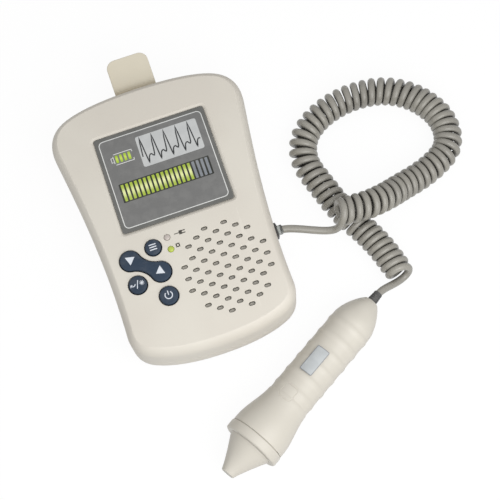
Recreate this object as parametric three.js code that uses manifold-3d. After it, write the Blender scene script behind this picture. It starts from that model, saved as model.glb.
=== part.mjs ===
// Handheld vascular doppler: a palm sized display unit, a pencil probe and the curly cord between them.
// Millimetres. X runs across the unit, Y from its foot to its probe holder, Z out of its face.
// The origin is the middle of the flat back, and the unit, the cord and the probe all lie on z 0.

import * as THREE from "three";
import { mergeVertices } from "three/addons/utils/BufferGeometryUtils.js";
import Module from "manifold-3d";

const wasm = await Module();
wasm.setup();

// Driving sizes of the whole object

const seatGap = 0.3; // running or seating clearance between two neighbouring pieces
const overrun = 4; // how far a cutting tool runs past what it cuts

const caseLength = 136; // foot to top edge
const caseShoulder = 100; // across the top corners, before they are rounded
const caseFoot = 82.4; // across the foot corners, before they are rounded
const caseWall = 2.2;
const rearHeight = 12.5; // the parting line above the back
const topDrop = 9.2; // the top edge falls this much from the middle to its corners
const footDrop = 8.7;
const shoulderRound = 14; // length that each rounded corner takes from its two sides
const footRound = 9.2;
const shoulderLean = 1.8; // outward lean of the side over the rounded shoulder
const waistDraw = 1.4; // how far the waist draws in from the foot corner
const bevelWidth = 4.2; // round-over between face and side
const bevelDrop = 7.5;
const backInset = 6; // round-under between side and back
const backRound = 7;

const batteryDiameter = 14.5;
const batteryLength = 50.5;
const batteryPlay = 0.5;
const doorThickness = 1.8;
const bayRoof = 1.2;
const bayWall = 2.2;

const speakerDiameter = 38;
const speakerDepth = 7.6;
const speakerRoom = 1; // air between the speaker's magnet and the battery bay
const grilleMesh = 0.4;

const faceInner = doorThickness + seatGap + batteryDiameter + batteryPlay + bayRoof
  + speakerRoom + speakerDepth + seatGap + grilleMesh + seatGap;
const caseThickness = faceInner + caseWall;

const panelWidth = 55.5;
const panelHeight = 49.6;
const panelCorner = 2.4;
const panelSheet = 0.7;
const panelDepth = 1.1; // depth of the recess that the printed sheet lies in
const panelSill = 4.2; // width of the ledge round the window, under the sheet

const keyColumn = 12.2; // between the two columns of keys
const keyPitch = 12.3; // between the keys in a column
const keyStagger = 2.7; // the left column sits this much lower
const keyTravel = 0.8;
const keyRise = 1.1; // how far the caps stand proud of the face
const keyPlay = 0.45; // gap between a cap and its hole

const holePitch = 6; // speaker grille
const holeLength = 3.2;
const holeWidth = 1.9;

const cordDiameter = 3.4;
const curlRadius = 5.35; // from the coil's axis to the middle of the cord
const curlCount = 51;

const probeLength = 106.5;
const probeGrip = 21.8; // diameter of the ridged grip
const probeFlange = 29.2;
const probeWall = 1.8;

// Places on the unit, as shares of the foot width and of the length

const panelShares = [0, 0.16];
const keyShares = [-0.273, -0.103];
const ledShares = [-0.105, -0.083];
const grilleShares = [0.171, -0.249];
const jackShare = -0.161;
const topScrewShares = [0.49, 0.35];
const footScrewShares = [0.428, -0.362];
const batteryShare = -0.312;

const onFace = (shares) => new THREE.Vector2(shares[0] * caseFoot, shares[1] * caseLength);
const panelAt = onFace(panelShares);
const keysAt = onFace(keyShares);
const ledsAt = onFace(ledShares);
const grilleAt = onFace(grilleShares);
const jackY = jackShare * caseLength;
const batteryY = batteryShare * caseLength;

// Closed solids and their joins

const welded = (geometry) => {
  const bare = geometry.clone();
  bare.deleteAttribute("normal");
  bare.deleteAttribute("uv");
  const merged = mergeVertices(bare);
  const source = merged.index.array;
  const corners = [];
  for (let i = 0; i < source.length; i += 3) {
    const [a, b, c] = [source[i], source[i + 1], source[i + 2]];
    if (a !== b && b !== c && c !== a) corners.push(a, b, c);
  }
  const at = merged.getAttribute("position");
  const [p, q, r] = [new THREE.Vector3(), new THREE.Vector3(), new THREE.Vector3()];
  let volume = 0;
  for (let i = 0; i < corners.length; i += 3) {
    p.fromBufferAttribute(at, corners[i]);
    q.fromBufferAttribute(at, corners[i + 1]);
    r.fromBufferAttribute(at, corners[i + 2]);
    volume += p.dot(q.cross(r));
  }
  if (volume < 0) corners.reverse();
  merged.setIndex(corners);
  return merged;
};

const solidOf = (geometry) => {
  const closed = welded(geometry);
  return new wasm.Manifold(new wasm.Mesh({
    numProp: 3,
    vertProperties: Float32Array.from(closed.getAttribute("position").array),
    triVerts: Uint32Array.from(closed.index.array),
  }));
};

const geometryOf = (solid) => {
  const mesh = solid.getMesh();
  const geometry = new THREE.BufferGeometry();
  geometry.setAttribute("position", new THREE.BufferAttribute(Float32Array.from(mesh.vertProperties), 3));
  geometry.setIndex(Array.from(mesh.triVerts));
  return geometry;
};

const join = (first, ...rest) =>
  geometryOf(rest.reduce((sum, next) => sum.add(solidOf(next)), solidOf(first)));
const cut = (first, ...rest) =>
  geometryOf(rest.reduce((left, next) => left.subtract(solidOf(next)), solidOf(first)));
const common = (first, second) => geometryOf(solidOf(first).intersect(solidOf(second)));

const moved = (geometry, x, y, z) => geometry.clone().translate(x, y, z);

// A box given by its two opposite corners
const block = (low, high) => {
  const size = high.map((value, axis) => value - low[axis]);
  const middle = high.map((value, axis) => (value + low[axis]) / 2);
  return moved(new THREE.BoxGeometry(...size), ...middle);
};

// A round bar that stands on bottom and ends at top
const bar = (radius, bottom, top, sides = 16) => {
  const geometry = new THREE.CylinderGeometry(radius, radius, top - bottom, sides);
  return geometry.rotateX(Math.PI / 2).translate(0, 0, (top + bottom) / 2);
};

// A turned piece: the profile lists radius and height, closed on itself or on the axis
const turned = (profile, sides = 20) => {
  const points = profile.map(([radius, height]) => new THREE.Vector2(radius, height));
  return new THREE.LatheGeometry(points, sides).rotateX(Math.PI / 2);
};

const plate = (shape, bottom, top, curveSegments = 4) => {
  const geometry = new THREE.ExtrudeGeometry(shape, {
    depth: top - bottom, bevelEnabled: false, curveSegments, steps: 1,
  });
  return geometry.translate(0, 0, bottom);
};

const roundedRect = (width, height, corner) => {
  const [x, y] = [width / 2, height / 2];
  const shape = new THREE.Shape();
  shape.moveTo(corner - x, -y);
  shape.lineTo(x - corner, -y);
  shape.absarc(x - corner, corner - y, corner, -Math.PI / 2, 0);
  shape.lineTo(x, y - corner);
  shape.absarc(x - corner, y - corner, corner, 0, Math.PI / 2);
  shape.lineTo(corner - x, y);
  shape.absarc(corner - x, y - corner, corner, Math.PI / 2, Math.PI);
  shape.lineTo(-x, corner - y);
  shape.absarc(corner - x, corner - y, corner, Math.PI, 1.5 * Math.PI);
  return shape;
};

// A stack of rings of equal count, each a list of Vector3, closed by a flat cap at each end
const loft = (rings) => {
  const count = rings[0].length;
  const positions = rings.flat().flatMap((point) => [point.x, point.y, point.z]);
  const corners = [];
  for (let level = 0; level + 1 < rings.length; level += 1) {
    for (let i = 0; i < count; i += 1) {
      const [a, b] = [level * count + i, level * count + (i + 1) % count];
      corners.push(a, b, b + count, a, b + count, a + count);
    }
  }
  const capOf = (ring) =>
    THREE.ShapeUtils.triangulateShape(ring.map((point) => new THREE.Vector2(point.x, point.y)), []);
  const top = (rings.length - 1) * count;
  for (const [a, b, c] of capOf(rings[0])) corners.push(c, b, a);
  for (const [a, b, c] of capOf(rings.at(-1))) corners.push(a + top, b + top, c + top);
  const geometry = new THREE.BufferGeometry();
  geometry.setAttribute("position", new THREE.Float32BufferAttribute(positions, 3));
  geometry.setIndex(corners);
  return geometry;
};

// Outline of the case: one half as curves with their directions, mirrored for the other half

const outlineHalf = (() => {
  const footCorner = new THREE.Vector2(caseFoot / 2, footDrop - caseLength / 2);
  const topCorner = new THREE.Vector2(caseShoulder / 2, caseLength / 2 - topDrop);
  const footPull = new THREE.Vector2(footCorner.x / 2, -caseLength / 2);
  const topPull = new THREE.Vector2(topCorner.x / 2, caseLength / 2);
  const towards = (from, to, length) => from.clone().add(to.clone().sub(from).setLength(length));
  const footIn = towards(footCorner, footPull, footRound);
  const footOut = new THREE.Vector2(footCorner.x, footCorner.y + footRound);
  const topIn = new THREE.Vector2(topCorner.x - shoulderLean, topCorner.y - shoulderRound);
  const topOut = towards(topCorner, topPull, shoulderRound);
  const sideLength = topIn.y - footOut.y;
  const waistShare = 0.45;
  const waist = new THREE.Vector2(footOut.x - waistDraw, footOut.y + sideLength * waistShare);
  const flareShare = 0.165;
  const flareLean = shoulderLean * sideLength * flareShare / shoulderRound;
  const flare = new THREE.Vector2(topIn.x - flareLean, topIn.y - sideLength * flareShare);
  return [
    [new THREE.QuadraticBezierCurve(new THREE.Vector2(0, -caseLength / 2), footPull, footIn), 4],
    [new THREE.QuadraticBezierCurve(footIn, footCorner, footOut), 5],
    [new THREE.CubicBezierCurve(footOut, waist, flare, topIn), 6],
    [new THREE.QuadraticBezierCurve(topIn, topCorner, topOut), 5],
    [new THREE.QuadraticBezierCurve(topOut, topPull, new THREE.Vector2(0, caseLength / 2)), 4],
  ];
})();

const caseRing = (inset, height) => {
  const right = [];
  for (const [curve, steps] of outlineHalf) {
    for (let i = 0; i < steps; i += 1) {
      const along = curve.getTangent(i / steps);
      const at = curve.getPoint(i / steps);
      right.push(new THREE.Vector3(at.x - along.y * inset, at.y + along.x * inset, height));
    }
  }
  const top = new THREE.Vector3(0, caseLength / 2 - inset, height);
  const left = right.slice(1).reverse().map((point) => new THREE.Vector3(-point.x, point.y, point.z));
  return [...right, top, ...left];
};

// Half width of the case at a height along Y, for what seats on its side
const sideAt = (y) => {
  const side = outlineHalf[2][0];
  const steps = 40;
  const points = side.getPoints(steps);
  return points.reduce((best, point) => (Math.abs(point.y - y) < Math.abs(best.y - y) ? point : best)).x;
};

// Sections of the case: how far each height is drawn in from the outline
const bevelSection = (faceZ, extra, steps) => {
  const sweep = THREE.MathUtils.degToRad(70);
  return Array.from({ length: steps + 1 }, (_, i) => {
    const angle = sweep * i / steps;
    const inset = bevelWidth * (1 - Math.cos(angle)) / (1 - Math.cos(sweep));
    return [inset + extra, faceZ - bevelDrop + bevelDrop * Math.sin(angle) / Math.sin(sweep)];
  });
};
const backSection = (backZ, extra, steps) =>
  Array.from({ length: steps + 1 }, (_, i) => {
    const angle = Math.PI / 2 * (1 - i / steps);
    return [backInset * (1 - Math.cos(angle)) + extra, backZ + backRound * (1 - Math.sin(angle))];
  });
const loftSections = (sections) => loft(sections.map(([inset, height]) => caseRing(inset, height)));

const frontOuter = loftSections([[0, rearHeight + seatGap], ...bevelSection(caseThickness, 0, 4)]);
const frontInner = loftSections([
  [caseWall, rearHeight + seatGap - overrun], ...bevelSection(faceInner, caseWall, 2),
]);
const rearOuter = loftSections([...backSection(0, 0, 5), [0, rearHeight]]);
const rearInner = loftSections([
  ...backSection(caseWall, caseWall, 2), [caseWall, rearHeight + overrun],
]);

// Keys: where they stand and how their caps are shaped

const rightColumn = keysAt.x + keyColumn / 2;
const leftColumn = keysAt.x - keyColumn / 2;
const leftTop = keysAt.y - keyStagger;
const modeKey = { x: rightColumn, y: keysAt.y, radius: 4.1 };
const soundKey = { x: leftColumn, y: leftTop - keyPitch, radius: 4.65 };
const powerKey = { x: rightColumn, y: keysAt.y - 2 * keyPitch, radius: 4.8 };
const downLobe = new THREE.Vector2(leftColumn, leftTop);
const upLobe = new THREE.Vector2(rightColumn, keysAt.y - keyPitch);
const rocker = {
  x: (downLobe.x + upLobe.x) / 2,
  y: (downLobe.y + upLobe.y) / 2,
  turn: upLobe.clone().sub(downLobe).angle(),
  reach: upLobe.distanceTo(downLobe) / 2,
  radius: 4.9,
  waist: 5.5,
  tab: 3, // half length of the hidden tabs at the waist, which it tilts on
};

const capFlange = 0.9; // width of the hidden rim that keeps a cap in its hole
const rimThickness = 1;
const capCrown = 0.25;
const capRound = 0.5;
const pressGap = 0.3; // left between a pressed cap and the dome under it
const matThickness = 1;
const domeRise = 0.6;
const boardThickness = 1.6;

const rimTop = faceInner - seatGap;
const rimBottom = rimTop - rimThickness;
const domeTop = rimBottom - keyTravel - pressGap;
const matTop = domeTop - domeRise;
const matBottom = matTop - matThickness;
const boardTop = matBottom - seatGap;
const boardBottom = boardTop - boardThickness;
const capTop = caseThickness + keyRise;

const roundCap = (radius) => turned([
  [0, rimBottom], [radius + capFlange, rimBottom], [radius + capFlange, rimTop], [radius, rimTop],
  [radius, capTop - capRound], [radius - capRound, capTop], [0, capTop + capCrown],
]);

// Two lobes joined by a waist, grown by extra all round, from bottom to top
const rockerForm = (extra, bottom, top) => {
  const lobe = bar(rocker.radius + extra, bottom, top, 18);
  const halfWaist = rocker.waist / 2 + extra;
  return join(
    moved(lobe, -rocker.reach, 0, 0),
    moved(lobe, rocker.reach, 0, 0),
    block([-rocker.reach, -halfWaist, bottom], [rocker.reach, halfWaist, top]),
  );
};

const rockerCap = () => join(
  rockerForm(0, rimBottom, capTop),
  block(
    [-rocker.tab, -rocker.waist / 2 - capFlange, rimBottom],
    [rocker.tab, rocker.waist / 2 + capFlange, rimTop],
  ),
);

// Front cover: face with recess, window, key holes, lamp holes, grille, cord opening and screw posts

const ledRadius = 1.5;
const ledPitch = 6.1;
const ledPlaces = [
  new THREE.Vector2(ledsAt.x, ledsAt.y),
  new THREE.Vector2(ledsAt.x, ledsAt.y - ledPitch),
];

// Rows of holes per column, from the left edge of the round field to its right edge
const grilleColumns = [3, 6, 7, 8, 7, 8, 7, 6, 3];
const grillePlaces = grilleColumns.flatMap((holes, column) => {
  const x = (column - (grilleColumns.length - 1) / 2) * holePitch * Math.sin(Math.PI / 3);
  return Array.from({ length: holes }, (_, row) =>
    new THREE.Vector2(grilleAt.x + x, grilleAt.y + (row - (holes - 1) / 2) * holePitch));
});

const ovalHole = (() => {
  const shape = new THREE.Shape();
  shape.absellipse(0, 0, holeLength / 2, holeWidth / 2, 0, 2 * Math.PI);
  return plate(shape, faceInner - overrun, caseThickness + overrun);
})();

const mirrored = ([x, y]) => [new THREE.Vector2(-x, y), new THREE.Vector2(x, y)];
const topScrews = mirrored([topScrewShares[0] * caseFoot, topScrewShares[1] * caseLength]);
const footScrews = mirrored([footScrewShares[0] * caseFoot, footScrewShares[1] * caseLength]);
const caseScrewPlaces = [...topScrews, ...footScrews];
const caseScrew = {
  headRadius: 2.6, headHeight: 1.8, shankRadius: 1.4, postRadius: 3.9, ledge: 2.2, bite: 9,
};
const screwSink = rearHeight - caseScrew.ledge; // depth of the wells that the screw heads sit in

// The board's screws: one pair above the panel and one pair beside it
const boardScrew = {
  headRadius: 2.1, headHeight: 1.4, shankRadius: 0.95, postRadius: 2.3, bite: 3.4, margin: 3.5,
};
const boardScrewX = panelWidth / 2 + 2 * boardScrew.postRadius;
const boardScrewY = panelAt.y + panelHeight / 2 + 2 * boardScrew.postRadius;
const boardScrewPlaces = [
  ...mirrored([panelWidth / 4, boardScrewY]), ...mirrored([boardScrewX, panelAt.y]),
];
const boardHalfWidth = boardScrewX + boardScrew.margin;

const jack = { width: 9.6, height: 8, depth: 10, proud: 0.8 };
const jackTop = boardBottom - seatGap;
const jackBottom = jackTop - jack.height;
const jackZ = (jackTop + jackBottom) / 2;
const jackFace = sideAt(jackY) + jack.proud;

const windowWidth = panelWidth - 2 * panelSill;
const windowHeight = panelHeight - 2 * panelSill;

const frontCover = () => {
  const recess = roundedRect(panelWidth + 2 * seatGap, panelHeight + 2 * seatGap, panelCorner);
  const posts = [
    ...caseScrewPlaces.map(({ x, y }) =>
      moved(bar(caseScrew.postRadius, rearHeight + seatGap, faceInner + caseWall / 2, 14), x, y, 0)),
    ...boardScrewPlaces.map(({ x, y }) =>
      moved(bar(boardScrew.postRadius, boardTop + seatGap, faceInner + caseWall / 2, 12), x, y, 0)),
  ];
  const bores = [
    ...caseScrewPlaces.map(({ x, y }) =>
      moved(bar(caseScrew.shankRadius + seatGap, 0, rearHeight + caseScrew.bite + seatGap, 10), x, y, 0)),
    ...boardScrewPlaces.map(({ x, y }) =>
      moved(bar(boardScrew.shankRadius + seatGap, 0, boardTop + boardScrew.bite + seatGap, 10), x, y, 0)),
  ];
  const keyHole = ({ x, y, radius }) =>
    moved(bar(radius + keyPlay, faceInner - overrun, caseThickness + overrun, 20), x, y, 0);
  const rockerHole = rockerForm(keyPlay, faceInner - overrun, caseThickness + overrun)
    .rotateZ(rocker.turn).translate(rocker.x, rocker.y, 0);
  const jackHole = block(
    [jackFace - jack.depth, jackY - jack.width / 2 - seatGap, jackBottom - seatGap],
    [jackFace + overrun, jackY + jack.width / 2 + seatGap, jackTop + seatGap],
  );
  const shell = cut(frontOuter, frontInner);
  const posted = common(join(shell, ...posts), frontOuter);
  return cut(
    posted,
    ...bores,
    moved(plate(recess, caseThickness - panelDepth, caseThickness + overrun), panelAt.x, panelAt.y, 0),
    block(
      [panelAt.x - windowWidth / 2, panelAt.y - windowHeight / 2, faceInner - overrun],
      [panelAt.x + windowWidth / 2, panelAt.y + windowHeight / 2, caseThickness],
    ),
    keyHole(modeKey), keyHole(soundKey), keyHole(powerKey), rockerHole,
    ...ledPlaces.map(({ x, y }) =>
      moved(bar(ledRadius + seatGap, faceInner - overrun, caseThickness + overrun, 12), x, y, 0)),
    ...grillePlaces.map(({ x, y }) => moved(ovalHole, x, y, 0)),
    jackHole,
  );
};

// Rear cover: back shell with screw wells, battery bay, door slot and the holder's screw posts

const contactRoom = 3.2; // depth of the springs and plates at each end of the cells
const bayHalfLength = batteryLength / 2 + contactRoom;
const bayHalfWidth = batteryDiameter + 1.5 * batteryPlay;
const bayFloor = doorThickness + seatGap;
const bayCeiling = bayFloor + batteryDiameter + batteryPlay;
const doorLip = 0.7; // height of the lips that carry the sliding door
const doorTongue = 1.2; // how far the door reaches over each lip
const doorHalfWidth = bayHalfLength - seatGap;
const doorEnd = batteryY + bayHalfWidth + bayWall / 2;

const holder = {
  width: 21, plate: 2.4, reach: 19, low: 3, high: 22.4, bend: 3.4, corner: 4.5,
  screwSpread: 5.5, screwZ: 9, headRadius: 2, headHeight: 1.3, shankRadius: 1.1, postRadius: 2.5, bite: 8,
};
const holderFoot = caseLength / 2 + seatGap;
const holderScrewPlaces = mirrored([holder.screwSpread, holder.screwZ]);

// A bar along Y, from one place on that axis to another
const crossBar = (radius, from, to, x, z, sides = 10) =>
  new THREE.CylinderGeometry(radius, radius, to - from, sides).translate(x, (from + to) / 2, z);

// The space that the battery door fills, grown by extra, before the case's outer skin trims its end
const doorForm = (extra) => {
  const near = doorEnd + extra;
  const far = -caseLength / 2 - overrun;
  const halfBottom = doorHalfWidth + extra;
  const halfTop = doorHalfWidth + doorTongue + extra;
  return join(
    block([-halfBottom, far, -overrun], [halfBottom, near, doorThickness + extra]),
    block([-halfTop, far, doorLip + seatGap - extra], [halfTop, near, doorThickness + extra]),
  );
};

const rearCover = () => {
  const bayLow = [-bayHalfLength - bayWall, batteryY - bayHalfWidth - bayWall, bayFloor];
  const bayHigh = [bayHalfLength + bayWall, batteryY + bayHalfWidth + bayWall, bayCeiling + bayRoof];
  const posts = caseScrewPlaces.map(({ x, y }) =>
    moved(bar(caseScrew.postRadius, caseWall / 2, rearHeight, 14), x, y, 0));
  const holderPosts = holderScrewPlaces.map(({ x, y }) =>
    crossBar(holder.postRadius, caseLength / 2 - holder.bite, caseLength / 2 - caseWall / 2, x, y));
  const skin = common(join(cut(rearOuter, rearInner), ...posts, ...holderPosts), rearOuter);
  return cut(
    join(skin, block(bayLow, bayHigh)),
    block(
      [-bayHalfLength, batteryY - bayHalfWidth, -overrun],
      [bayHalfLength, batteryY + bayHalfWidth, bayCeiling],
    ),
    doorForm(seatGap),
    ...caseScrewPlaces.map(({ x, y }) =>
      moved(bar(caseScrew.headRadius + seatGap, -overrun, screwSink, 14), x, y, 0)),
    ...caseScrewPlaces.map(({ x, y }) =>
      moved(bar(caseScrew.shankRadius + seatGap, -overrun, rearHeight + overrun, 10), x, y, 0)),
    ...holderScrewPlaces.map(({ x, y }) => crossBar(
      holder.shankRadius + seatGap, holderFoot + holder.plate - holder.bite, caseLength / 2 + overrun, x, y,
    )),
  );
};

const batteryDoor = () => common(
  cut(doorForm(0), block(
    [-caseShoulder, -caseLength, -2 * overrun],
    [caseShoulder, caseLength, 0],
  )),
  rearOuter,
);

// Screws: a round head with a shank, point up

const screw = ({ headRadius, headHeight, shankRadius }, length) => turned([
  [0, -headHeight], [headRadius * 0.7, -headHeight], [headRadius, -headHeight / 2],
  [headRadius, 0], [shankRadius, 0], [shankRadius, length - shankRadius], [0, length],
], 10);

// Display: printed sheet, glass, light guide and frame

const displayOverlay = () => {
  const bottom = caseThickness - panelDepth + seatGap;
  return moved(plate(roundedRect(panelWidth, panelHeight, panelCorner), bottom, bottom + panelSheet),
    panelAt.x, panelAt.y, 0);
};

const glassBorder = 1.6; // how far the glass reaches past the window
const glassThickness = 2;
const frameRim = 1.4;
const glassWidth = windowWidth + 2 * glassBorder;
const glassHeight = windowHeight + 2 * glassBorder;
const glassTop = faceInner - seatGap;
const glassBottom = glassTop - glassThickness;

const centredBlock = (at, width, height, bottom, top) => block(
  [at.x - width / 2, at.y - height / 2, bottom],
  [at.x + width / 2, at.y + height / 2, top],
);

const lcdFrame = () => cut(
  centredBlock(panelAt, glassWidth + 2 * (frameRim + seatGap), glassHeight + 2 * (frameRim + seatGap),
    boardTop + seatGap, glassTop),
  centredBlock(panelAt, glassWidth + 2 * seatGap, glassHeight + 2 * seatGap,
    boardTop - overrun, glassTop + overrun),
);

// Main board: a sheet round the display with a tongue for the socket and a field under the keys

const mainBoard = () => {
  const top = boardScrewY + boardScrew.margin;
  const middle = panelAt.y - panelHeight / 2 - boardScrew.postRadius;
  const keyFoot = powerKey.y - powerKey.radius - 2 * capFlange;
  const tongue = jackY - jack.width / 2;
  const shape = new THREE.Shape();
  shape.moveTo(-boardHalfWidth, top);
  shape.lineTo(-boardHalfWidth, keyFoot);
  shape.lineTo(ledsAt.x, keyFoot);
  shape.lineTo(ledsAt.x + 2 * ledRadius, middle);
  shape.lineTo(grilleAt.x + speakerDiameter / 4, middle);
  shape.lineTo(grilleAt.x + speakerDiameter / 4, tongue);
  shape.lineTo(boardHalfWidth, tongue);
  shape.lineTo(boardHalfWidth, top);
  const speakerRoomCut = moved(bar(speakerDiameter / 2 + 2 * seatGap, 0, caseThickness, 28),
    grilleAt.x, grilleAt.y, 0);
  const room = loftSections([[caseWall + seatGap, 0], [caseWall + seatGap, caseThickness]]);
  const holes = boardScrewPlaces.map(({ x, y }) =>
    moved(bar(boardScrew.shankRadius + seatGap, 0, caseThickness, 12), x, y, 0));
  const postRooms = caseScrewPlaces.map(({ x, y }) =>
    moved(bar(caseScrew.postRadius + seatGap, 0, caseThickness, 14), x, y, 0));
  return cut(common(plate(shape, boardBottom, boardTop), room), speakerRoomCut, ...holes, ...postRooms);
};

const keypadMat = () => {
  const margin = capFlange;
  const left = leftColumn - soundKey.radius - margin;
  const right = rightColumn + powerKey.radius + margin / 2;
  const low = powerKey.y - powerKey.radius - margin;
  const high = modeKey.y + modeKey.radius + margin;
  const dome = bar(modeKey.radius * 0.6, matBottom + matThickness / 2, domeTop, 16);
  const domes = [modeKey, soundKey, powerKey, downLobe, upLobe].map(({ x, y }) => moved(dome, x, y, 0));
  return join(block([left, low, matBottom], [right, high, matTop]), ...domes);
};

const lamp = () => turned([
  [0, boardTop + seatGap], [1.25 * ledRadius, boardTop + seatGap], [1.25 * ledRadius, boardTop + ledRadius],
  [ledRadius, boardTop + ledRadius], [ledRadius, caseThickness - ledRadius / 3],
  [ledRadius * 0.8, caseThickness + ledRadius / 5], [0, caseThickness + ledRadius / 2],
], 12);

// Speaker: mesh, basket, cone and magnet on one axis

const speaker = {
  rim: 1.2, skirt: 0.8, basketWall: 0.8, magnetRadius: 9, magnetHeight: 3.4, coneRadius: 14.8,
};
const basketTop = faceInner - seatGap - grilleMesh - seatGap;
const basketBottom = basketTop - speakerDepth;
const magnetTop = basketBottom + speaker.magnetHeight;
const basketFloor = magnetTop + seatGap;
const meshReach = (grilleColumns.length - 1) / 2 * holePitch * Math.sin(Math.PI / 3) + holeWidth / 2;
const grilleMeshDisc = () => {
  const room = loftSections([
    [caseWall + seatGap, rearHeight], ...bevelSection(faceInner, caseWall + seatGap, 2),
  ]);
  const disc = bar(meshReach, basketTop + seatGap, basketTop + seatGap + grilleMesh, 28);
  return common(moved(disc, grilleAt.x, grilleAt.y, 0), room);
};
const speakerBasket = () => {
  const outer = speakerDiameter / 2;
  const mouth = outer - speaker.rim;
  const throat = speaker.magnetRadius - speaker.rim;
  return turned([
    [throat, basketFloor], [speaker.magnetRadius + speaker.rim, basketFloor],
    [mouth, basketTop - speaker.rim], [outer, basketTop - speaker.rim], [outer, basketTop],
    [mouth, basketTop], [speaker.magnetRadius + speaker.rim, basketFloor + speaker.basketWall],
    [throat, basketFloor + speaker.basketWall], [throat, basketFloor],
  ], 24);
};
const speakerCone = () => {
  const mouth = speaker.coneRadius;
  const throat = speaker.magnetRadius - speaker.rim;
  const low = basketFloor + speaker.basketWall + seatGap;
  return turned([
    [0, low + speaker.rim], [throat, low], [mouth, basketTop - speaker.skirt],
    [mouth, basketTop], [throat, low + speaker.skirt], [0, low + speaker.rim + speaker.skirt],
  ], 20);
};

// Battery cells and contacts

const cellY = [1, -1].map((side) => batteryY + side * (batteryDiameter + batteryPlay) / 2);
const cellZ = bayFloor + (batteryDiameter + batteryPlay) / 2;
const cellNub = { radius: 2.75, length: 1.2 };
const cell = () => turned([
  [0, -batteryLength / 2], [batteryDiameter / 2, -batteryLength / 2],
  [batteryDiameter / 2, batteryLength / 2 - cellNub.length],
  [cellNub.radius, batteryLength / 2 - cellNub.length],
  [cellNub.radius, batteryLength / 2], [0, batteryLength / 2],
], 20).rotateY(Math.PI / 2);

const contact = { plate: 0.4, height: 11, width: 11, bump: 3 };
const contactPlate = (side, y, width) => {
  const wallFace = side * (bayHalfLength - seatGap);
  const inner = wallFace - side * contact.plate;
  const tip = side * (batteryLength / 2 + seatGap);
  const low = cellZ - contact.height / 2;
  const sheet = block(
    [Math.min(wallFace, inner), y - width / 2, low],
    [Math.max(wallFace, inner), y + width / 2, low + contact.height],
  );
  const bumps = cellY.filter((at) => Math.abs(at - y) < width / 2).map((at) => {
    const height = Math.abs(inner - tip) + contact.plate / 2;
    const cone = new THREE.CylinderGeometry(contact.bump / 2, contact.bump, height, 10);
    cone.rotateZ(side * Math.PI / 2);
    return cone.translate((inner + tip) / 2 + side * contact.plate / 4, at, cellZ);
  });
  return join(sheet, ...bumps);
};

// Probe holder: a channel that opens away from the unit, with rounded free corners

const probeHolder = () => {
  const { plate: t, bend, low, high } = holder;
  const start = holderFoot;
  const end = holderFoot + holder.reach;
  const shape = new THREE.Shape();
  shape.moveTo(end, low);
  shape.lineTo(end, low + t);
  shape.lineTo(start + bend, low + t);
  shape.absarc(start + bend, low + bend, bend - t, -Math.PI / 2, -Math.PI, true);
  shape.lineTo(start + t, high - bend);
  shape.absarc(start + bend, high - bend, bend - t, Math.PI, Math.PI / 2, true);
  shape.lineTo(end, high - t);
  shape.lineTo(end, high);
  shape.lineTo(start + bend, high);
  shape.absarc(start + bend, high - bend, bend, Math.PI / 2, Math.PI);
  shape.lineTo(start, low + bend);
  shape.absarc(start + bend, low + bend, bend, Math.PI, 1.5 * Math.PI);
  const channel = plate(shape, -holder.width / 2, holder.width / 2)
    .rotateX(Math.PI / 2).rotateZ(Math.PI / 2);
  const cornered = plate(roundedRect(holder.width, 2 * holder.reach, holder.corner), 0, caseThickness)
    .translate(0, holderFoot, 0);
  const holes = holderScrewPlaces.map(({ x, y }) =>
    crossBar(holder.shankRadius + seatGap, start - overrun, start + t + overrun, x, y));
  return cut(common(channel, cornered), ...holes);
};

// Cord socket and its clear plug

const plug = { width: 7.2, height: 5.6, inside: 7.4, outside: 3.2, latch: 0.8 };
const modularJack = () => cut(
  block(
    [jackFace - jack.depth, jackY - jack.width / 2, jackBottom],
    [jackFace, jackY + jack.width / 2, jackTop],
  ),
  block(
    [jackFace - plug.inside - seatGap, jackY - plug.width / 2 - seatGap, jackZ - plug.height / 2 - seatGap],
    [jackFace + overrun, jackY + plug.width / 2 + seatGap, jackZ + plug.height / 2 + seatGap],
  ),
);
const plugEnd = jackFace + plug.outside;
const modularPlug = () => join(
  block(
    [jackFace - plug.inside, jackY - plug.width / 2, jackZ - plug.height / 2],
    [jackFace + seatGap, jackY + plug.width / 2, jackZ + plug.height / 2],
  ),
  block(
    [jackFace, jackY - plug.width / 2 + plug.latch, jackZ - plug.height / 2],
    [plugEnd, jackY + plug.width / 2 - plug.latch, jackZ + plug.height / 2],
  ),
);

// Probe: every piece is turned about the probe's axis, tip at 0

const nose = { tip: 3.4, base: 11.3, length: 16.1, bore: 2.4, mouth: 8.8 };
const collar = { length: 4.6, round: 1.1, bore: 9.4 };
const transducer = { radius: 2.1, lens: 0.8, crystal: 0.5, backing: 5, split: 0.4 };
const body = { start: 14, rear: 4.2 };
const ridge = { count: 6, pitch: 7.9, first: 48.2, depth: 0.45 };
const boot = { radius: 2.5, hole: 2.8, outside: 4.6, inside: 5.4, flange: 3.6, flangeLength: 1.6 };

const collarStart = nose.length + seatGap;
const bodyStart = collarStart + collar.length + seatGap;

// Radius of the probe's body at a distance from the tip: flare, ridged grip, then a domed tail
const gripEnd = ridge.first + (ridge.count - 0.5) * ridge.pitch;
const bodyRadius = (along) => {
  if (along < ridge.first - ridge.pitch / 2) {
    const span = ridge.first - ridge.pitch / 2 - bodyStart;
    const t = (along - bodyStart) / span;
    const ease = (1 + Math.cos(Math.PI * t)) / 2;
    return probeGrip / 2 + (body.start - probeGrip / 2) * ease;
  }
  if (along < gripEnd) {
    const wave = (1 - Math.cos(2 * Math.PI * (along - ridge.first) / ridge.pitch)) / 2;
    return probeGrip / 2 - ridge.depth * wave;
  }
  const t = (along - gripEnd) / (probeLength - gripEnd);
  const waist = probeGrip / 2 - ridge.depth;
  return body.rear + (waist - body.rear) * Math.sqrt(Math.max(0, 1 - t ** 1.6));
};

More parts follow.
